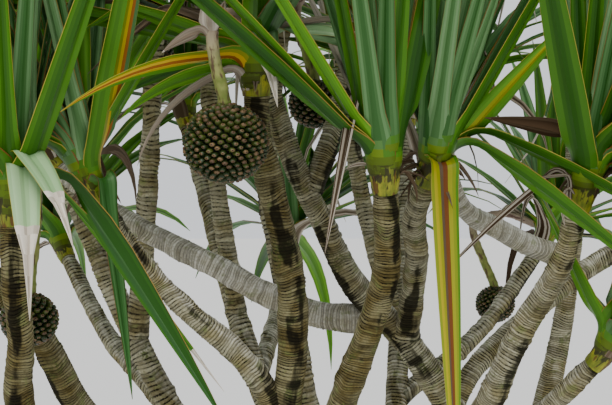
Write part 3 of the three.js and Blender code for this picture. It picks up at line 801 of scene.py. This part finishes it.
def ring_places(rng, start, end, pitch):
    """Distances of the rows of points along a limb, their ring numbers and their heights on the ring."""
    count = int((end - start) / pitch)
    widths = rng.uniform(*RING_WIDTHS, count)
    widths *= (end - start) / widths.sum()
    starts = start + np.cumsum(widths) - widths
    parts = [(starts + widths * at, np.arange(count) + at, np.full(count, high)) for at, high in RING_ROWS]
    distance, number, height = (np.stack(values, axis=1).ravel() for values in zip(*parts))
    ledge = rng.normal(0, LEDGE.spread, count) + (rng.random(count) < LEDGE.chance) * LEDGE.extra
    return distance, number, height + np.repeat(ledge, len(RING_ROWS)) * (height > 0)


def knob_field(rng, limb, distance, angle):
    """Healed buds: low mounds, some with a dark hole in the middle."""
    length = limb.route.length
    knobs = [
        (rng.uniform(*KNOB.at), rng.uniform(0, TAU), rng.uniform(*KNOB.radius), rng.random() < KNOB.open)
        for _ in range(int(length / KNOB.apart))
    ]
    mound = np.zeros((len(distance), len(angle)))
    hole = np.zeros_like(mound)
    for at, heading, size, open_middle in knobs + limb.knobs:
        round_it = (angle - heading + pi) % (TAU) - pi
        away = np.hypot(distance[:, None] - at * length, round_it * limb.radius_at(at)) / size
        mound += size * KNOB.height * np.exp(-(away**2))
        if open_middle:
            hole += np.exp(-((away * 3) ** 2))
    return mound - hole * KNOB.hole, np.clip(hole, 0, 1)


def limb_stain_and_shade(rng, limb, distance, start, angle, outward):
    """How dark a limb is: rain stains in a wandering streak, painted shade on its underside, and darker at
    its two ends.
    """
    heading = radians(limb.streak) + drift(rng, distance, *STREAK.wander)
    streak = unit(np.stack([np.cos(heading), np.sin(heading), np.full(len(distance), -0.15)], axis=1))
    facing = np.sum(outward * streak[:, None], axis=2) + ripples(rng, distance, angle, *STREAK.ragged)
    edge = STREAK.edge + np.clip(drift(rng, distance, *STREAK.varies), -0.1, 0.1)[:, None]
    # Painted shade: the underside is laid darker, as if the limb shaded it.
    underside = np.clip(-outward[..., 2] - 0.3, 0, 1) * STREAK.underside
    stain = smooth((facing - edge) / STREAK.soft) * rng.uniform(*STREAK.strength) + underside
    ends = np.exp(-(distance - start) / 0.05), np.exp(-(limb.route.length - distance) / 0.02)
    return stain + (STREAK.ends * ends[0] + STREAK.ends * ends[1])[:, None]


def add_bark(shape, limb, seed, start, pitch, sides, depth):
    """Adds a limb's skin of ring scars from a distance along it to its tip."""
    rng = np.random.default_rng(seed)
    length = limb.route.length
    distance, number, height = ring_places(rng, start, length, pitch)
    share = distance / length
    angle, tangent, outward = rings_round(limb.route, share, sides, (1, 0.2, 0))
    sway = ripples(rng, distance, angle, *SWAY)
    swell = 1 + drift(rng, distance, *SWELL)[:, None]
    lumps = ripples(rng, distance, angle, *LUMPS)
    strength = np.clip(1 + ripples(rng, distance, angle, *STRENGTH), 0.3, 1.8)
    mound, scar = knob_field(rng, limb, distance, angle)
    settle = smooth((length - distance) / 0.03)[:, None]
    radius = limb.radius_at(share)[:, None] * mix(1, swell, settle) + (lumps + mound) * settle
    radius = radius + depth * strength * height[:, None]
    points = limb.route.at(share)[:, None] + tangent[:, None] * (sway * settle)[..., None]
    points = points + outward * radius[..., None]
    stain = limb_stain_and_shade(rng, limb, distance, start, angle, outward)
    shape.add_rings(points, angle, radius, distance, ring=number[:, None], stain=stain, scar=scar)


def bark_piece(limb, seed):
    """The skin of one bough, as its own piece."""
    shape = Shape()
    smooth_bark = limb.name in SMOOTH_BOUGHS
    pitch = PITCH.seen if limb.seen else PITCH.unseen
    sides = SIDES.seen if limb.seen else SIDES.unseen
    depth = RING_DEPTH.smooth if smooth_bark else RING_DEPTH.bough
    add_bark(shape, limb, seed, limb.inside * limb.route.length, pitch, sides, depth)
    material = SMOOTH_BARK if smooth_bark else DARKER_BARK if limb.name in DARKER_BOUGHS else BARK
    shape.build(f"bark_{limb.name}", [material], f"bough_{limb.name}")


def make_root(number):
    """A prop root's line and radius, from inside the trunk to below the ground."""
    rng = np.random.default_rng(40 + number)
    heading = number / PROP_ROOTS.count * TAU
    out = np.array([cos(heading), sin(heading), 0])
    high, reach = PROP_ROOTS.high * rng.uniform(0.6, 1), PROP_ROOTS.reach * rng.uniform(0.85, 1)
    run, rise = PROP_ROOTS.knee
    foot, knee = out * reach - UP * 0.05, out * reach * run + UP * high * rise
    route = Route(quadratic_curve(out * TRUNK_RADIUS.foot * PROP_ROOTS.inside + UP * high, knee, foot))

    def radius_at(share):
        return PROP_ROOTS.radius * mix(0.8, 1, share)

    streak = degrees(heading) + 90
    return Values(name="root", route=route, radius_at=radius_at, streak=streak, knobs=[])


def trunk_piece(trunk):
    """The trunk's skin and its prop roots, cut flat at the ground."""
    shape = Shape()
    add_bark(shape, trunk, 7, 0, PITCH.trunk, SIDES.trunk, RING_DEPTH.trunk)
    for number in range(PROP_ROOTS.count):
        add_bark(shape, make_root(number), 60 + number, 0, PITCH.trunk, SIDES.root, RING_DEPTH.root)
    for points in shape.points:
        points[:, 2] = np.maximum(points[:, 2], 0)
    shape.build("bark_trunk", [BARK], "trunk")


def make_head(bough, seed):
    """A head stands on the tip of its bough, and turns a little more upright than the bough."""
    end = bough.route.along(1)
    axis = unit(mix(end, UP, STEM.upright))
    foot = bough.route.at(1)
    bend = foot + end * STEM.length * STEM.knee
    top = bend + axis * STEM.length * (1 - STEM.knee)
    right = unit(np.cross((0, 1, 0), axis))
    neck = float(bough.radius_at(1))

    def radius_at(share):
        return neck * STEM.radius * (mix(1, STEM.top, share**2) + STEM.swell * np.sin(share * pi))

    route = Route(quadratic_curve(foot, bend, top))
    return Values(
        name=bough.name, seed=seed, phase=seed * 67 + 50, axis=axis, route=route, right=right,
        front=np.cross(axis, right), neck=neck, radius_at=radius_at,
    )


def stem_piece(head):
    """The stem inside a head, wrapped in the sheaths of its leaves, with a clean edge round the neck."""
    shape = Shape()
    share = np.concatenate([[0, 0, 0.004], np.linspace(0.012, 1, STEM.rows)])
    angle, _, outward = rings_round(head.route, share, STEM.sides, head.right)
    spiral = (angle[None] * 3 / (TAU) + share[:, None] * 7 + head.seed * 0.37) % 1
    ridge = 1 + 0.07 * (spiral - 0.5) * smooth(share * 12)[:, None]
    radius = head.radius_at(share)[:, None] * ridge
    radius[0] = head.neck * 0.8
    points = head.route.at(share)[:, None] + outward * radius[..., None]
    band = smooth((share - 0.08) / 0.15) * (1 - smooth((share - 0.3) / 0.2))
    # On the sheath this field holds only grime: a band low on the stem and a dark line along each sheath
    # edge.
    stain = band[:, None] + (spiral < 0.1) * 0.6
    shape.add_rings(points, angle, radius, share * STEM.length, head.seed, stain=stain, up=share[:, None])
    shape.build(f"sheath_{head.name}", [SHEATH], f"head_{head.name}")


def make_leaf(shown=False, fold=None, dry=0.0, **others):
    """A leaf, from its place on its stem, its angles in radians, its size, its look and its seed."""
    return Values(shown=shown, fold=fold, dry=dry, **others)


def either_way(rng, most):
    """A random amount of either sign."""
    return rng.uniform(-most, most)


def one_of(rng, looks):
    """One of some looks, by chance."""
    return looks[rng.integers(len(looks))]


def leaf_by_rule(head, i, aside, share_of_length):
    """Leaf number i of a head, from the oldest to the youngest."""
    seed = head.seed * 1000 + i
    rng = np.random.default_rng(seed)
    share = i / (LEAVES - 1)
    leaf = make_leaf(
        seed=seed,
        at=mix(*LEAVES_AT, share),
        turn=radians(head.phase + i * TURN + either_way(rng, VARIES.turn) + aside),
        lean=radians(mix(LEAN_OLD, LEAN_YOUNG, share**0.8) + either_way(rng, VARIES.lean)),
        bend=radians(mix(BEND_OLD, BEND_YOUNG, share) * rng.uniform(*VARIES.bend)) * share_of_length,
        length=LEAF.length * rng.uniform(*VARIES.length) * mix(1, YOUNGEST, share**3) * share_of_length,
        width=LEAF.width * rng.uniform(*VARIES.width),
        twist=radians(either_way(rng, VARIES.twist)),
        look=one_of(rng, LIVING),
    )
    if i < DYING.leaves and rng.random() < DYING.chance:
        leaf.look = one_of(rng, DEAD)
        leaf.bend = radians(rng.uniform(*DYING.bend))
        leaf.width *= DYING.narrower
        leaf.length *= DYING.shorter
        leaf.twist *= DYING.curlier
    elif rng.random() < FOLDED.chance:
        leaf.fold = (rng.uniform(*FOLDED.at), radians(rng.uniform(*FOLDED.angle)), FOLDED.spread)
        leaf.dry = FOLDED.dry
    return leaf


def heart_leaf(head, i):
    """One of the young upright leaves that fill the heart of a head whose other leaves are listed."""
    rng = np.random.default_rng(head.seed * 100 + i)
    share = i / (HEART.leaves - 1)
    return make_leaf(
        seed=int(rng.integers(1000)),
        at=mix(*HEART.at, share),
        turn=radians(head.phase + i * TURN),
        lean=radians(mix(*HEART.lean, share) + either_way(rng, 3)),
        bend=radians(rng.uniform(*HEART.bend)),
        length=mix(*HEART.length, share) * rng.uniform(0.85, 1),
        width=HEART.width * rng.uniform(0.8, 1.1),
        twist=either_way(rng, HEART.twist),
        look=one_of(rng, HEART_LOOKS),
    )


def leaf_by_hand(head, at, heading, rise, bend, length, width, look, twist=0, fold=None, dry=0):
    """A listed leaf, from the heading and the rise in degrees that it leaves its stem with."""
    level, up = cos(radians(rise)), sin(radians(rise))
    along = np.array([level * cos(radians(heading)), level * sin(radians(heading)), up])
    return make_leaf(
        seed=1000 + heading + rise * 3,
        shown=True,
        at=at,
        turn=atan2(along @ head.front, along @ head.right),
        lean=acos(along @ head.axis),
        bend=radians(bend),
        length=length,
        width=width,
        twist=radians(twist),
        look=look,
        fold=fold and (fold[0], radians(fold[1]), fold[2]),
        dry=dry,
    )


def leaf_foot(leaf):
    """Where a leaf starts on its stem, and how far it hugs the stem before it leaves it."""
    run = LEAF.run * min(leaf.length / 0.5, 1)
    return leaf.at - run / STEM.length, run


def leaf_path(head, leaf, share):
    """Places, directions and side directions along a leaf, at shares of its length."""
    radial = head.right * cos(leaf.turn) + head.front * sin(leaf.turn)
    foot, run = leaf_foot(leaf)
    start = head.route.at(foot) + radial * (head.radius_at(foot) + LEAF.wrap)
    away = smooth((share * leaf.length - run) / min(LEAF.launch, leaf.length * 0.25))
    lean = mix(radians(LEAF.hug), leaf.lean, away)[:, None]
    launch = radial * np.sin(lean) + head.axis * np.cos(lean)
    level = np.array([launch[-1, 0], launch[-1, 1], 1e-6])
    level_side = unit(np.cross(UP, level))
    down = leaf.bend * share**LEAF.droop
    if leaf.fold:
        at, angle, spread = leaf.fold
        down = down + angle * smooth(((share - at) * leaf.length - run) / spread)
    down = down[:, None]
    direction = launch * np.cos(down) + np.cross(level_side, launch) * np.sin(down)
    direction = unit(direction + level_side * (launch @ level_side)[:, None] * (1 - np.cos(down)))
    levelled = smooth(share * 4)[:, None]
    side = np.cross(head.axis, radial) * (1 - levelled) + level_side * levelled
    side = unit(side - direction * np.sum(side * direction, axis=1, keepdims=True))
    steps = np.diff(share)[:, None] * leaf.length
    middle = (direction[1:] + direction[:-1]) / 2
    places = start + np.vstack([np.zeros(3), np.cumsum(middle * steps, axis=0)])
    turned = (leaf.twist * smooth(share * 2))[:, None]
    side = side * np.cos(turned) + np.cross(direction, side) * np.sin(turned)
    return places, direction, side


def leaf_rows(leaf):
    """Where a leaf has rows of points, closer at its foot, in its fold and where it dries."""
    kind = "shown" if leaf.shown else "other"
    foot = np.array(getattr(FOOT_ROWS, kind)) / max(leaf.length, 0.25)
    rows = [foot, mix(foot[-1], 1, np.linspace(0, 1, getattr(BLADE_ROWS, kind) + 1)[1:])]
    if leaf.fold:
        rows.append(leaf.fold[0] + (leaf_foot(leaf)[1] + leaf.fold[2] * np.linspace(0, 1, 5)) / leaf.length)
    if leaf.dry:
        rows.append(1 - leaf.dry + np.array([0, 0.04]))
    return np.unique(np.concatenate(rows))


def leaf_triangles(rows):
    """Triangles whose diagonals match on the two sides, so that the sides never cross."""
    columns, middle = len(ACROSS) + len(UNDER), len(ACROSS) - 1
    a, b, c, d = ring_faces(rows, columns).T
    upper = np.arange(len(a)) % columns < middle
    first = np.where(upper, [b, a, c], [b, a, d])
    second = np.where(upper, [c, a, d], [b, d, c])
    return np.stack([first.T, second.T], axis=1).reshape(-1, 3)


def tones_along(leaf, share):
    """The tone of each strip of a leaf between its rows: from grimy through olive to its own at its foot."""
    rng = np.random.default_rng(leaf.seed)
    strips, tip = LEAF_LOOKS[leaf.look].strips, LEAF_LOOKS[leaf.look].tip
    own = rng.integers(-1, 2)
    late = rng.uniform(0, 1.6) + rng.uniform(0, 0.8, len(strips))
    feet = [FOOT_COLOURS + TO_OWN.get(tone.split()[0], ()) for tone in strips]
    clean = max(leaf.at - FOOT.clean_above, 0) / (1 - FOOT.clean_above) * FOOT.lost
    tones = []
    for at in (share[1:] + share[:-1]) / 2:
        steps = at * leaf.length / min(FOOT.step, leaf.length * 0.02) - late + clean
        if at > LEAF.tip:
            tones.append([tone_number(tip)] * len(strips))
        elif leaf.dry and at > 1 - leaf.dry:
            tones.append([tone_number("dry 7", rng.integers(-1, 2)) for _ in strips])
        elif leaf.look in DEAD:
            tones.append([tone_number(tone, own) for tone in strips])
        else:
            tones.append([
                tone_number(foot[max(int(step), 0)]) if step < len(foot) else tone_number(tone, own)
                for tone, step, foot in zip(strips, steps, feet)
            ])
    return np.array(tones)


def bract_stem(fruit):
    """A fruit's stalk, as a stem that leaves can be set on."""

    def radius_at(share):
        return STALK_RADIUS

    right, front = np.array([1.0, 0, 0]), np.array([0, 1.0, 0])
    return Values(route=fruit.route, axis=UP, right=right, front=front, radius_at=radius_at)


def dead_strip(rng, at, kind):
    """A leaf-like dead strip, a frayed one or a bract, whose lie and colour are left to chance."""
    lean, length = rng.uniform(*kind.lean), rng.uniform(*kind.length)
    return make_leaf(
        seed=int(rng.integers(1000)),
        at=at,
        turn=rng.uniform(0, TAU),
        lean=radians(lean),
        bend=radians(rng.uniform(10, 60)),
        length=length,
        width=kind.width,
        twist=either_way(rng, 2),
        look=one_of(rng, DEAD),
    )


def add_leaf(shape, head, leaf):
    """Adds a leaf: a channel that clasps the stem and opens into a blade with an M across it."""
    share = leaf_rows(leaf)
    fine = np.linspace(0, 1, 241)
    places, direction, side = (
        np.stack([np.interp(share, fine, values[:, k]) for k in range(3)], axis=1)
        for values in leaf_path(head, leaf, fine)
    )
    direction, side = unit(direction), unit(side)
    above = np.cross(direction, side)
    distance = share * leaf.length
    sunk = LEAF.sunk * (1 - smooth(distance / LEAF.rooted))[:, None]
    foot, run = leaf_foot(leaf)
    places = places - unit(places[0] - head.route.at(foot)) * sunk
    withered = smooth((share - 1 + leaf.dry) / DRIED.over) * (leaf.dry > 0) + (leaf.look in DEAD)
    narrower = 1 - DRIED.narrower * (leaf.dry > 0) * withered
    half = leaf.width / 2 * ((1 - 0.98 * share**LEAF.taper) * narrower)[:, None]
    stem = float(head.radius_at(leaf.at)) + LEAF.wrap
    clasp = min(radians(LEAF.clasp), leaf.width * 0.9 / stem)
    hold = stem - sunk
    opened = smooth((distance - run) / min(LEAF.opens, leaf.length * 0.3))[:, None]
    curl = 1 + DRIED.curl * withered[:, None]

    def section(w, depth):
        flat, high = w * half, np.interp(np.abs(w), *PROFILE) * half * curl
        arc = w * clasp
        wrapped, raised = hold * np.sin(arc), hold * (1 - np.cos(arc))
        return mix(wrapped, flat, opened), mix(raised, high, opened) - depth

    top_x, top_z = section(ACROSS, 0)
    under_x, under_z = section(UNDER, LEAF.thick * (1 - 0.6 * share)[:, None])
    x, z = np.hstack([top_x, under_x]), np.hstack([top_z, under_z])
    points = places[:, None] + side[:, None] * x[..., None] + above[:, None] * z[..., None]
    rows, columns = x.shape
    tones = tones_along(leaf, share)
    foot_end = np.arange(columns)
    tip_end = np.arange((rows - 1) * columns, rows * columns)[::-1]
    blade = (leaf_triangles(rows), np.repeat(tones.ravel(), 2))
    shape.add(points, [blade, (foot_end, tones[0, 0]), (tip_end, tones[-1, 0])])


def in_picture(places):
    """Where places fall in the photograph's view, as slopes from the camera, and how far off they are."""
    away = places - np.array(CAMERA_PLACE)
    return away[:, [0, 2]] / away[:, 1:2], away[:, 1]


class Crown:
    """What a leaf must keep clear of: limbs, fruits and other stems, and what the photograph shows bare."""

    def __init__(self, limbs, heads, fruits):
        kept = []
        for limb in limbs:
            share = np.linspace(0, 1, 2 + int(limb.route.length / LIMB_STEP))
            kept.append((limb.name, limb.seen, limb.route.at(share), limb.radius_at(share)))
        for head in heads:
            kept.append((f"stem of {head.name}", False, head.route.at(np.linspace(0.1, 0.8, 6)), STEM_ROOM))
        for fruit in fruits:
            kept.append(("fruit", fruit.seen, fruit.route.at(np.linspace(0.3, 1, 12)), STALK_RADIUS))
            kept.append(("fruit", fruit.seen, fruit.centre[None], fruit.radius))
        owner, bare, places, room = zip(*kept)
        counts = [len(part) for part in places]
        self.places = np.concatenate(places)
        self.room = np.concatenate([np.broadcast_to(radius, count) for radius, count in zip(room, counts)])
        self.owner, bare = np.repeat(owner, counts), np.repeat(bare, counts)
        shown, shown_room = [self.places[bare]], [self.room[bare] + HIDES.beside]
        for head in heads:
            for row in SEEN_LEAVES.get(head.name, ()):
                leaf = leaf_by_hand(head, *row)
                shown.append(leaf_path(head, leaf, np.linspace(0.1, 0.9, 30))[0])
                shown_room.append(np.full(30, leaf.width * 0.4))
        self.reach = np.array(cad_box)
        self.shown_room = np.concatenate(shown_room)
        self.slopes, self.far = in_picture(np.concatenate(shown))

    def has_room(self, head, leaf, front_taken):
        """Tells whether a leaf keeps clear of the rest, and hides nothing that the photograph shows."""
        line, direction, _ = leaf_path(head, leaf, np.linspace(0, 1, PATH.steps))
        path = Route(line).at(np.linspace(PATH.start, 1, PATH.places))
        slopes, far = in_picture(path)
        outside = (slopes[:, 1] > PICTURE.top) | (np.abs(slopes[:, 0]) > PICTURE.side)
        to_front = -direction[PATH.steps // 4, 1]
        if front_taken and to_front > TO_CAMERA and not outside[PATH.places // 3 :].all():
            return False
        if (path < self.reach[0] - OUTSIDE).any() or (path > self.reach[1] + OUTSIDE).any():
            return False
        gaps = np.linalg.norm(path[:, None] - self.places[None], axis=2) - self.room
        if gaps[:, self.owner != f"stem of {head.name}"].min() < LEAF_ROOM:
            return False
        apart = np.linalg.norm(slopes[:, None] - self.slopes[None], axis=2) * self.far
        hides = (apart < self.shown_room) & (far[:, None] < self.far[None] - HIDES.nearer)
        return not hides[~outside].any()


def make_fruit(spec, heads):
    """Where a fruit hangs, and the line of its stalk."""
    name, out, drop, radius = spec
    start = heads[name].route.at(STALK_ARCH.start)

    def place(share, height):
        return start + np.array([out[0] * share, out[1] * share, height])

    route = Route(smooth_curve([
        place(0.1, 0),
        place(STALK_ARCH.out * 0.6, STALK_ARCH.rise),
        place(STALK_ARCH.out, STALK_ARCH.rise * 0.3),
        place(1, -drop),
    ]))
    centre = place(1, -drop - radius * FRUIT_HEIGHT * FRUIT_HANG)
    return Values(name=name, route=route, centre=centre, radius=radius, seen=name in SEEN_FRUITS)


# The looks of a drupe. The gap tone, near black, is painted shade between the drupes and on their core.
FRUIT_TONES = [
    plain("drupe gap", "0c1006", 0.8),
    plain("drupe green", "25340f", 0.4, 0.45),
    plain("drupe olive", "47521d", 0.4, 0.45),
    plain("drupe tan", "735a3b", 0.45, 0.4),
    plain("drupe brown", "5a432b", 0.45, 0.4),
    plain("drupe dark tip", "2b1e14", 0.7),
]
GAP, GREEN, OLIVE, TAN, BROWN, DARK_TIP = range(len(FRUIT_TONES))


def add_drupe(shape, rng, fruit, number, drupes):
    """Adds one drupe of the spiral round a fruit, a wedge with a blunt tip."""
    radius = fruit.radius
    height = 1 - 2 * (number + 0.5) / drupes
    turn = number * pi * (3 - sqrt(5))
    level = sqrt(1 - height * height)
    out = np.array([level * cos(turn), level * sin(turn), height])
    sideways = unit(np.cross(UP, out))
    upward = np.cross(out, sideways)
    spin = either_way(rng, DRUPE.spin)
    size = sqrt(4 * pi / drupes) * radius * rng.uniform(*DRUPE.size)
    stand = radius * rng.uniform(*DRUPE.stand)
    angle = np.linspace(0, TAU, DRUPE_SIDES, endpoint=False) + spin
    wide, tall = np.cos(angle) * DRUPE.wide, np.sin(angle) * DRUPE.tall
    spread = (sideways * wide[:, None] + upward * tall[:, None]) * size
    nod = (sideways * rng.normal(0, DRUPE.nod) + upward * rng.normal(0.04, DRUPE.nod)) * size
    rings = [
        out * (stand + radius * rise) + spread * part + nod * (rise > 0) for rise, part in DRUPE_RINGS
    ]
    tip = out * (stand + radius * DRUPE_TIP) + nod
    points = np.vstack([*rings, tip[None]]) * (1, 1, FRUIT_HEIGHT) + fruit.centre
    shoulder = OLIVE if rng.random() < DRUPE.olive + 0.4 * height else GREEN
    cap = TAN if rng.random() < DRUPE.tan else BROWN
    below = cap if rng.random() < DRUPE.capped else shoulder
    # The lowest band of each drupe takes the gap tone: painted shade between the drupes.
    looks = np.repeat([GAP, GREEN, shoulder, below, cap], DRUPE_SIDES)
    foot, end = np.arange(DRUPE_SIDES)[::-1], len(rings) * DRUPE_SIDES
    last = end - DRUPE_SIDES + np.arange(DRUPE_SIDES)
    tip_fan = np.stack([last, np.roll(last, -1), np.full(DRUPE_SIDES, end)], axis=1)
    shape.add(points, [(ring_faces(len(rings), DRUPE_SIDES), looks), (tip_fan, DARK_TIP), (foot, GAP)])


def add_core(shape, fruit):
    """Adds the dark ball that shows between the drupes: painted shade where they part."""
    share = np.linspace(0.02, 0.98, CORE.rows)
    turns = np.linspace(0, TAU, CORE.sides, endpoint=False)
    level, high = np.sin(share * pi)[:, None], np.cos(share * pi)[:, None]
    core = np.stack([level * np.cos(turns), level * np.sin(turns), high + turns * 0], axis=-1)
    core = core * fruit.radius * CORE.size * (1, 1, FRUIT_HEIGHT) + fruit.centre
    top = np.arange(CORE.sides)
    bottom = (top + (CORE.rows - 1) * CORE.sides)[::-1]
    shape.add(core, [(ring_faces(CORE.rows, CORE.sides)[:, ::-1], GAP), (top, GAP), (bottom, GAP)])


def fruit_piece(fruit, seed):
    """A ball of wedge-shaped drupes set in a spiral, over a dark core of painted shade."""
    shape = Shape()
    rng = np.random.default_rng(seed)
    drupes = round(DRUPES * (fruit.radius / DRUPE_FRUIT) ** 2)
    for number in range(drupes):
        add_drupe(shape, rng, fruit, number, drupes)
    add_core(shape, fruit)
    shape.build(f"fruit_{fruit.name}_drupes", FRUIT_TONES, f"fruit_{fruit.name}", CREASE.drupe)


def stalk_piece(fruit, seed):
    """A fruit's stalk, with low scars where its bracts have fallen."""
    shape = Shape()
    rng = np.random.default_rng(seed)
    share = np.linspace(0, 1, STALK_ROWS)
    angle, _, outward = rings_round(fruit.route, share, STALK_SIDES, (1, 0.3, 0.1))
    distance = share * fruit.route.length
    lumps = ripples(rng, distance, angle, *STALK_LUMPS)
    scars = STALK_SCAR.height * np.exp(-(((distance / STALK_SCAR.apart) % 1 - 0.5) / 0.12) ** 2)[:, None]
    radius = STALK_RADIUS * mix(0.92, 1.1, share[:, None]) + lumps + scars
    points = fruit.route.at(share)[:, None] + outward * radius[..., None]
    shape.add_rings(points, angle, radius, distance, down=share[:, None])
    shape.build(f"stalk_{fruit.name}", [STALK], f"fruit_{fruit.name}")


def bracts_piece(fruit, seed):
    """The dried bracts on a fruit's stalk."""
    shape = Shape()
    rng = np.random.default_rng(seed)
    stem = bract_stem(fruit)
    for row in SEEN_BRACTS.get(fruit.name, ()):
        add_leaf(shape, stem, leaf_by_hand(stem, *row))
    for at in rng.uniform(*BRACT.at, BRACTS):
        add_leaf(shape, stem, dead_strip(rng, at, BRACT))
    shape.build(f"bracts_{fruit.name}", LEAF_MATERIALS, f"fruit_{fruit.name}", CREASE.leaf)


def leaves_piece(head, crown):
    """All the leaves of one head, set from the youngest to the oldest, where there is room."""
    shape = Shape()
    rng = np.random.default_rng(head.seed)
    for _ in range(FRAYED.get(head.name, 0)):
        strip = dead_strip(rng, rng.uniform(*STRIP.at), STRIP)
        strip.look = "brown" if rng.random() < STRIP.brown else "dead"
        add_leaf(shape, head, strip)
    seen = [leaf_by_hand(head, *row) for row in SEEN_LEAVES.get(head.name, ())]
    hearts = [heart_leaf(head, i) for i in range(HEART.leaves)] if seen else []
    for leaf in seen + hearts:
        add_leaf(shape, head, leaf)
    for i in reversed(range(LEAVES)):
        tries = (leaf_by_rule(head, i, aside, share) for share in SHORTER for aside in ASIDE)
        leaf = next((leaf for leaf in tries if crown.has_room(head, leaf, bool(seen))), None)
        if leaf:
            add_leaf(shape, head, leaf)
    shape.build(f"leaves_{head.name}", LEAF_MATERIALS, f"head_{head.name}", CREASE.leaf)


def make_studio():
    """A plain pale floor, soft light from above and all round, and the photograph's camera."""
    floor_mesh = bpy.data.meshes.new("floor")
    half = FLOOR_SIZE / 2
    corners = [(-half, -half, 0), (half, -half, 0), (half, half, 0), (-half, half, 0)]
    floor_mesh.from_pydata(corners, [], [(0, 1, 2, 3)])
    floor_mesh.materials.append(plain("floor", "cfcfcd", 0.9, 0.1))
    floor = placed("floor", floor_mesh)

    world = bpy.data.worlds.new("studio")
    world.use_nodes = True
    sky = world.node_tree.nodes["Background"]
    sky.inputs["Color"].default_value = SKY
    bpy.context.scene.world = world

    lamp = bpy.data.lights.new("soft sun", "SUN")
    lamp.energy = SUN.energy
    lamp.angle = radians(SUN.softness)
    lamp.color = SUN.colour
    placed("soft sun", lamp).rotation_euler = np.radians(SUN.tilt)

    lens = bpy.data.cameras.new("camera")
    lens.lens = CAMERA_LENS
    lens.sensor_width = 36
    lens.clip_end = 400
    camera = placed("camera", lens)
    camera.location = CAMERA_PLACE
    camera.rotation_euler = (radians(90), 0, 0)
    bpy.context.scene.camera = camera


def make_tree():
    limbs = {"trunk": make_trunk()}
    boughs = []
    for specs, seen in ((SEEN_BOUGHS, True), (UNSEEN_BOUGHS, False), (back_boughs(), False)):
        for spec in specs:
            limbs[spec[0]] = make_bough(spec, limbs, seen)
            boughs.append(limbs[spec[0]])
    heads = {bough.name: make_head(bough, number) for number, bough in enumerate(boughs, 1)}
    fruits = [make_fruit(spec, heads) for spec in FRUITS]
    crown = Crown(limbs.values(), heads.values(), fruits)
    trunk_piece(limbs["trunk"])
    for number, bough in enumerate(boughs, 1):
        bark_piece(bough, number)
    for head in heads.values():
        stem_piece(head)
        leaves_piece(head, crown)
    for number, fruit in enumerate(fruits, 1):
        fruit_piece(fruit, 80 + number)
        stalk_piece(fruit, 90 + number)
        bracts_piece(fruit, 70 + number)


make_studio()
make_tree()
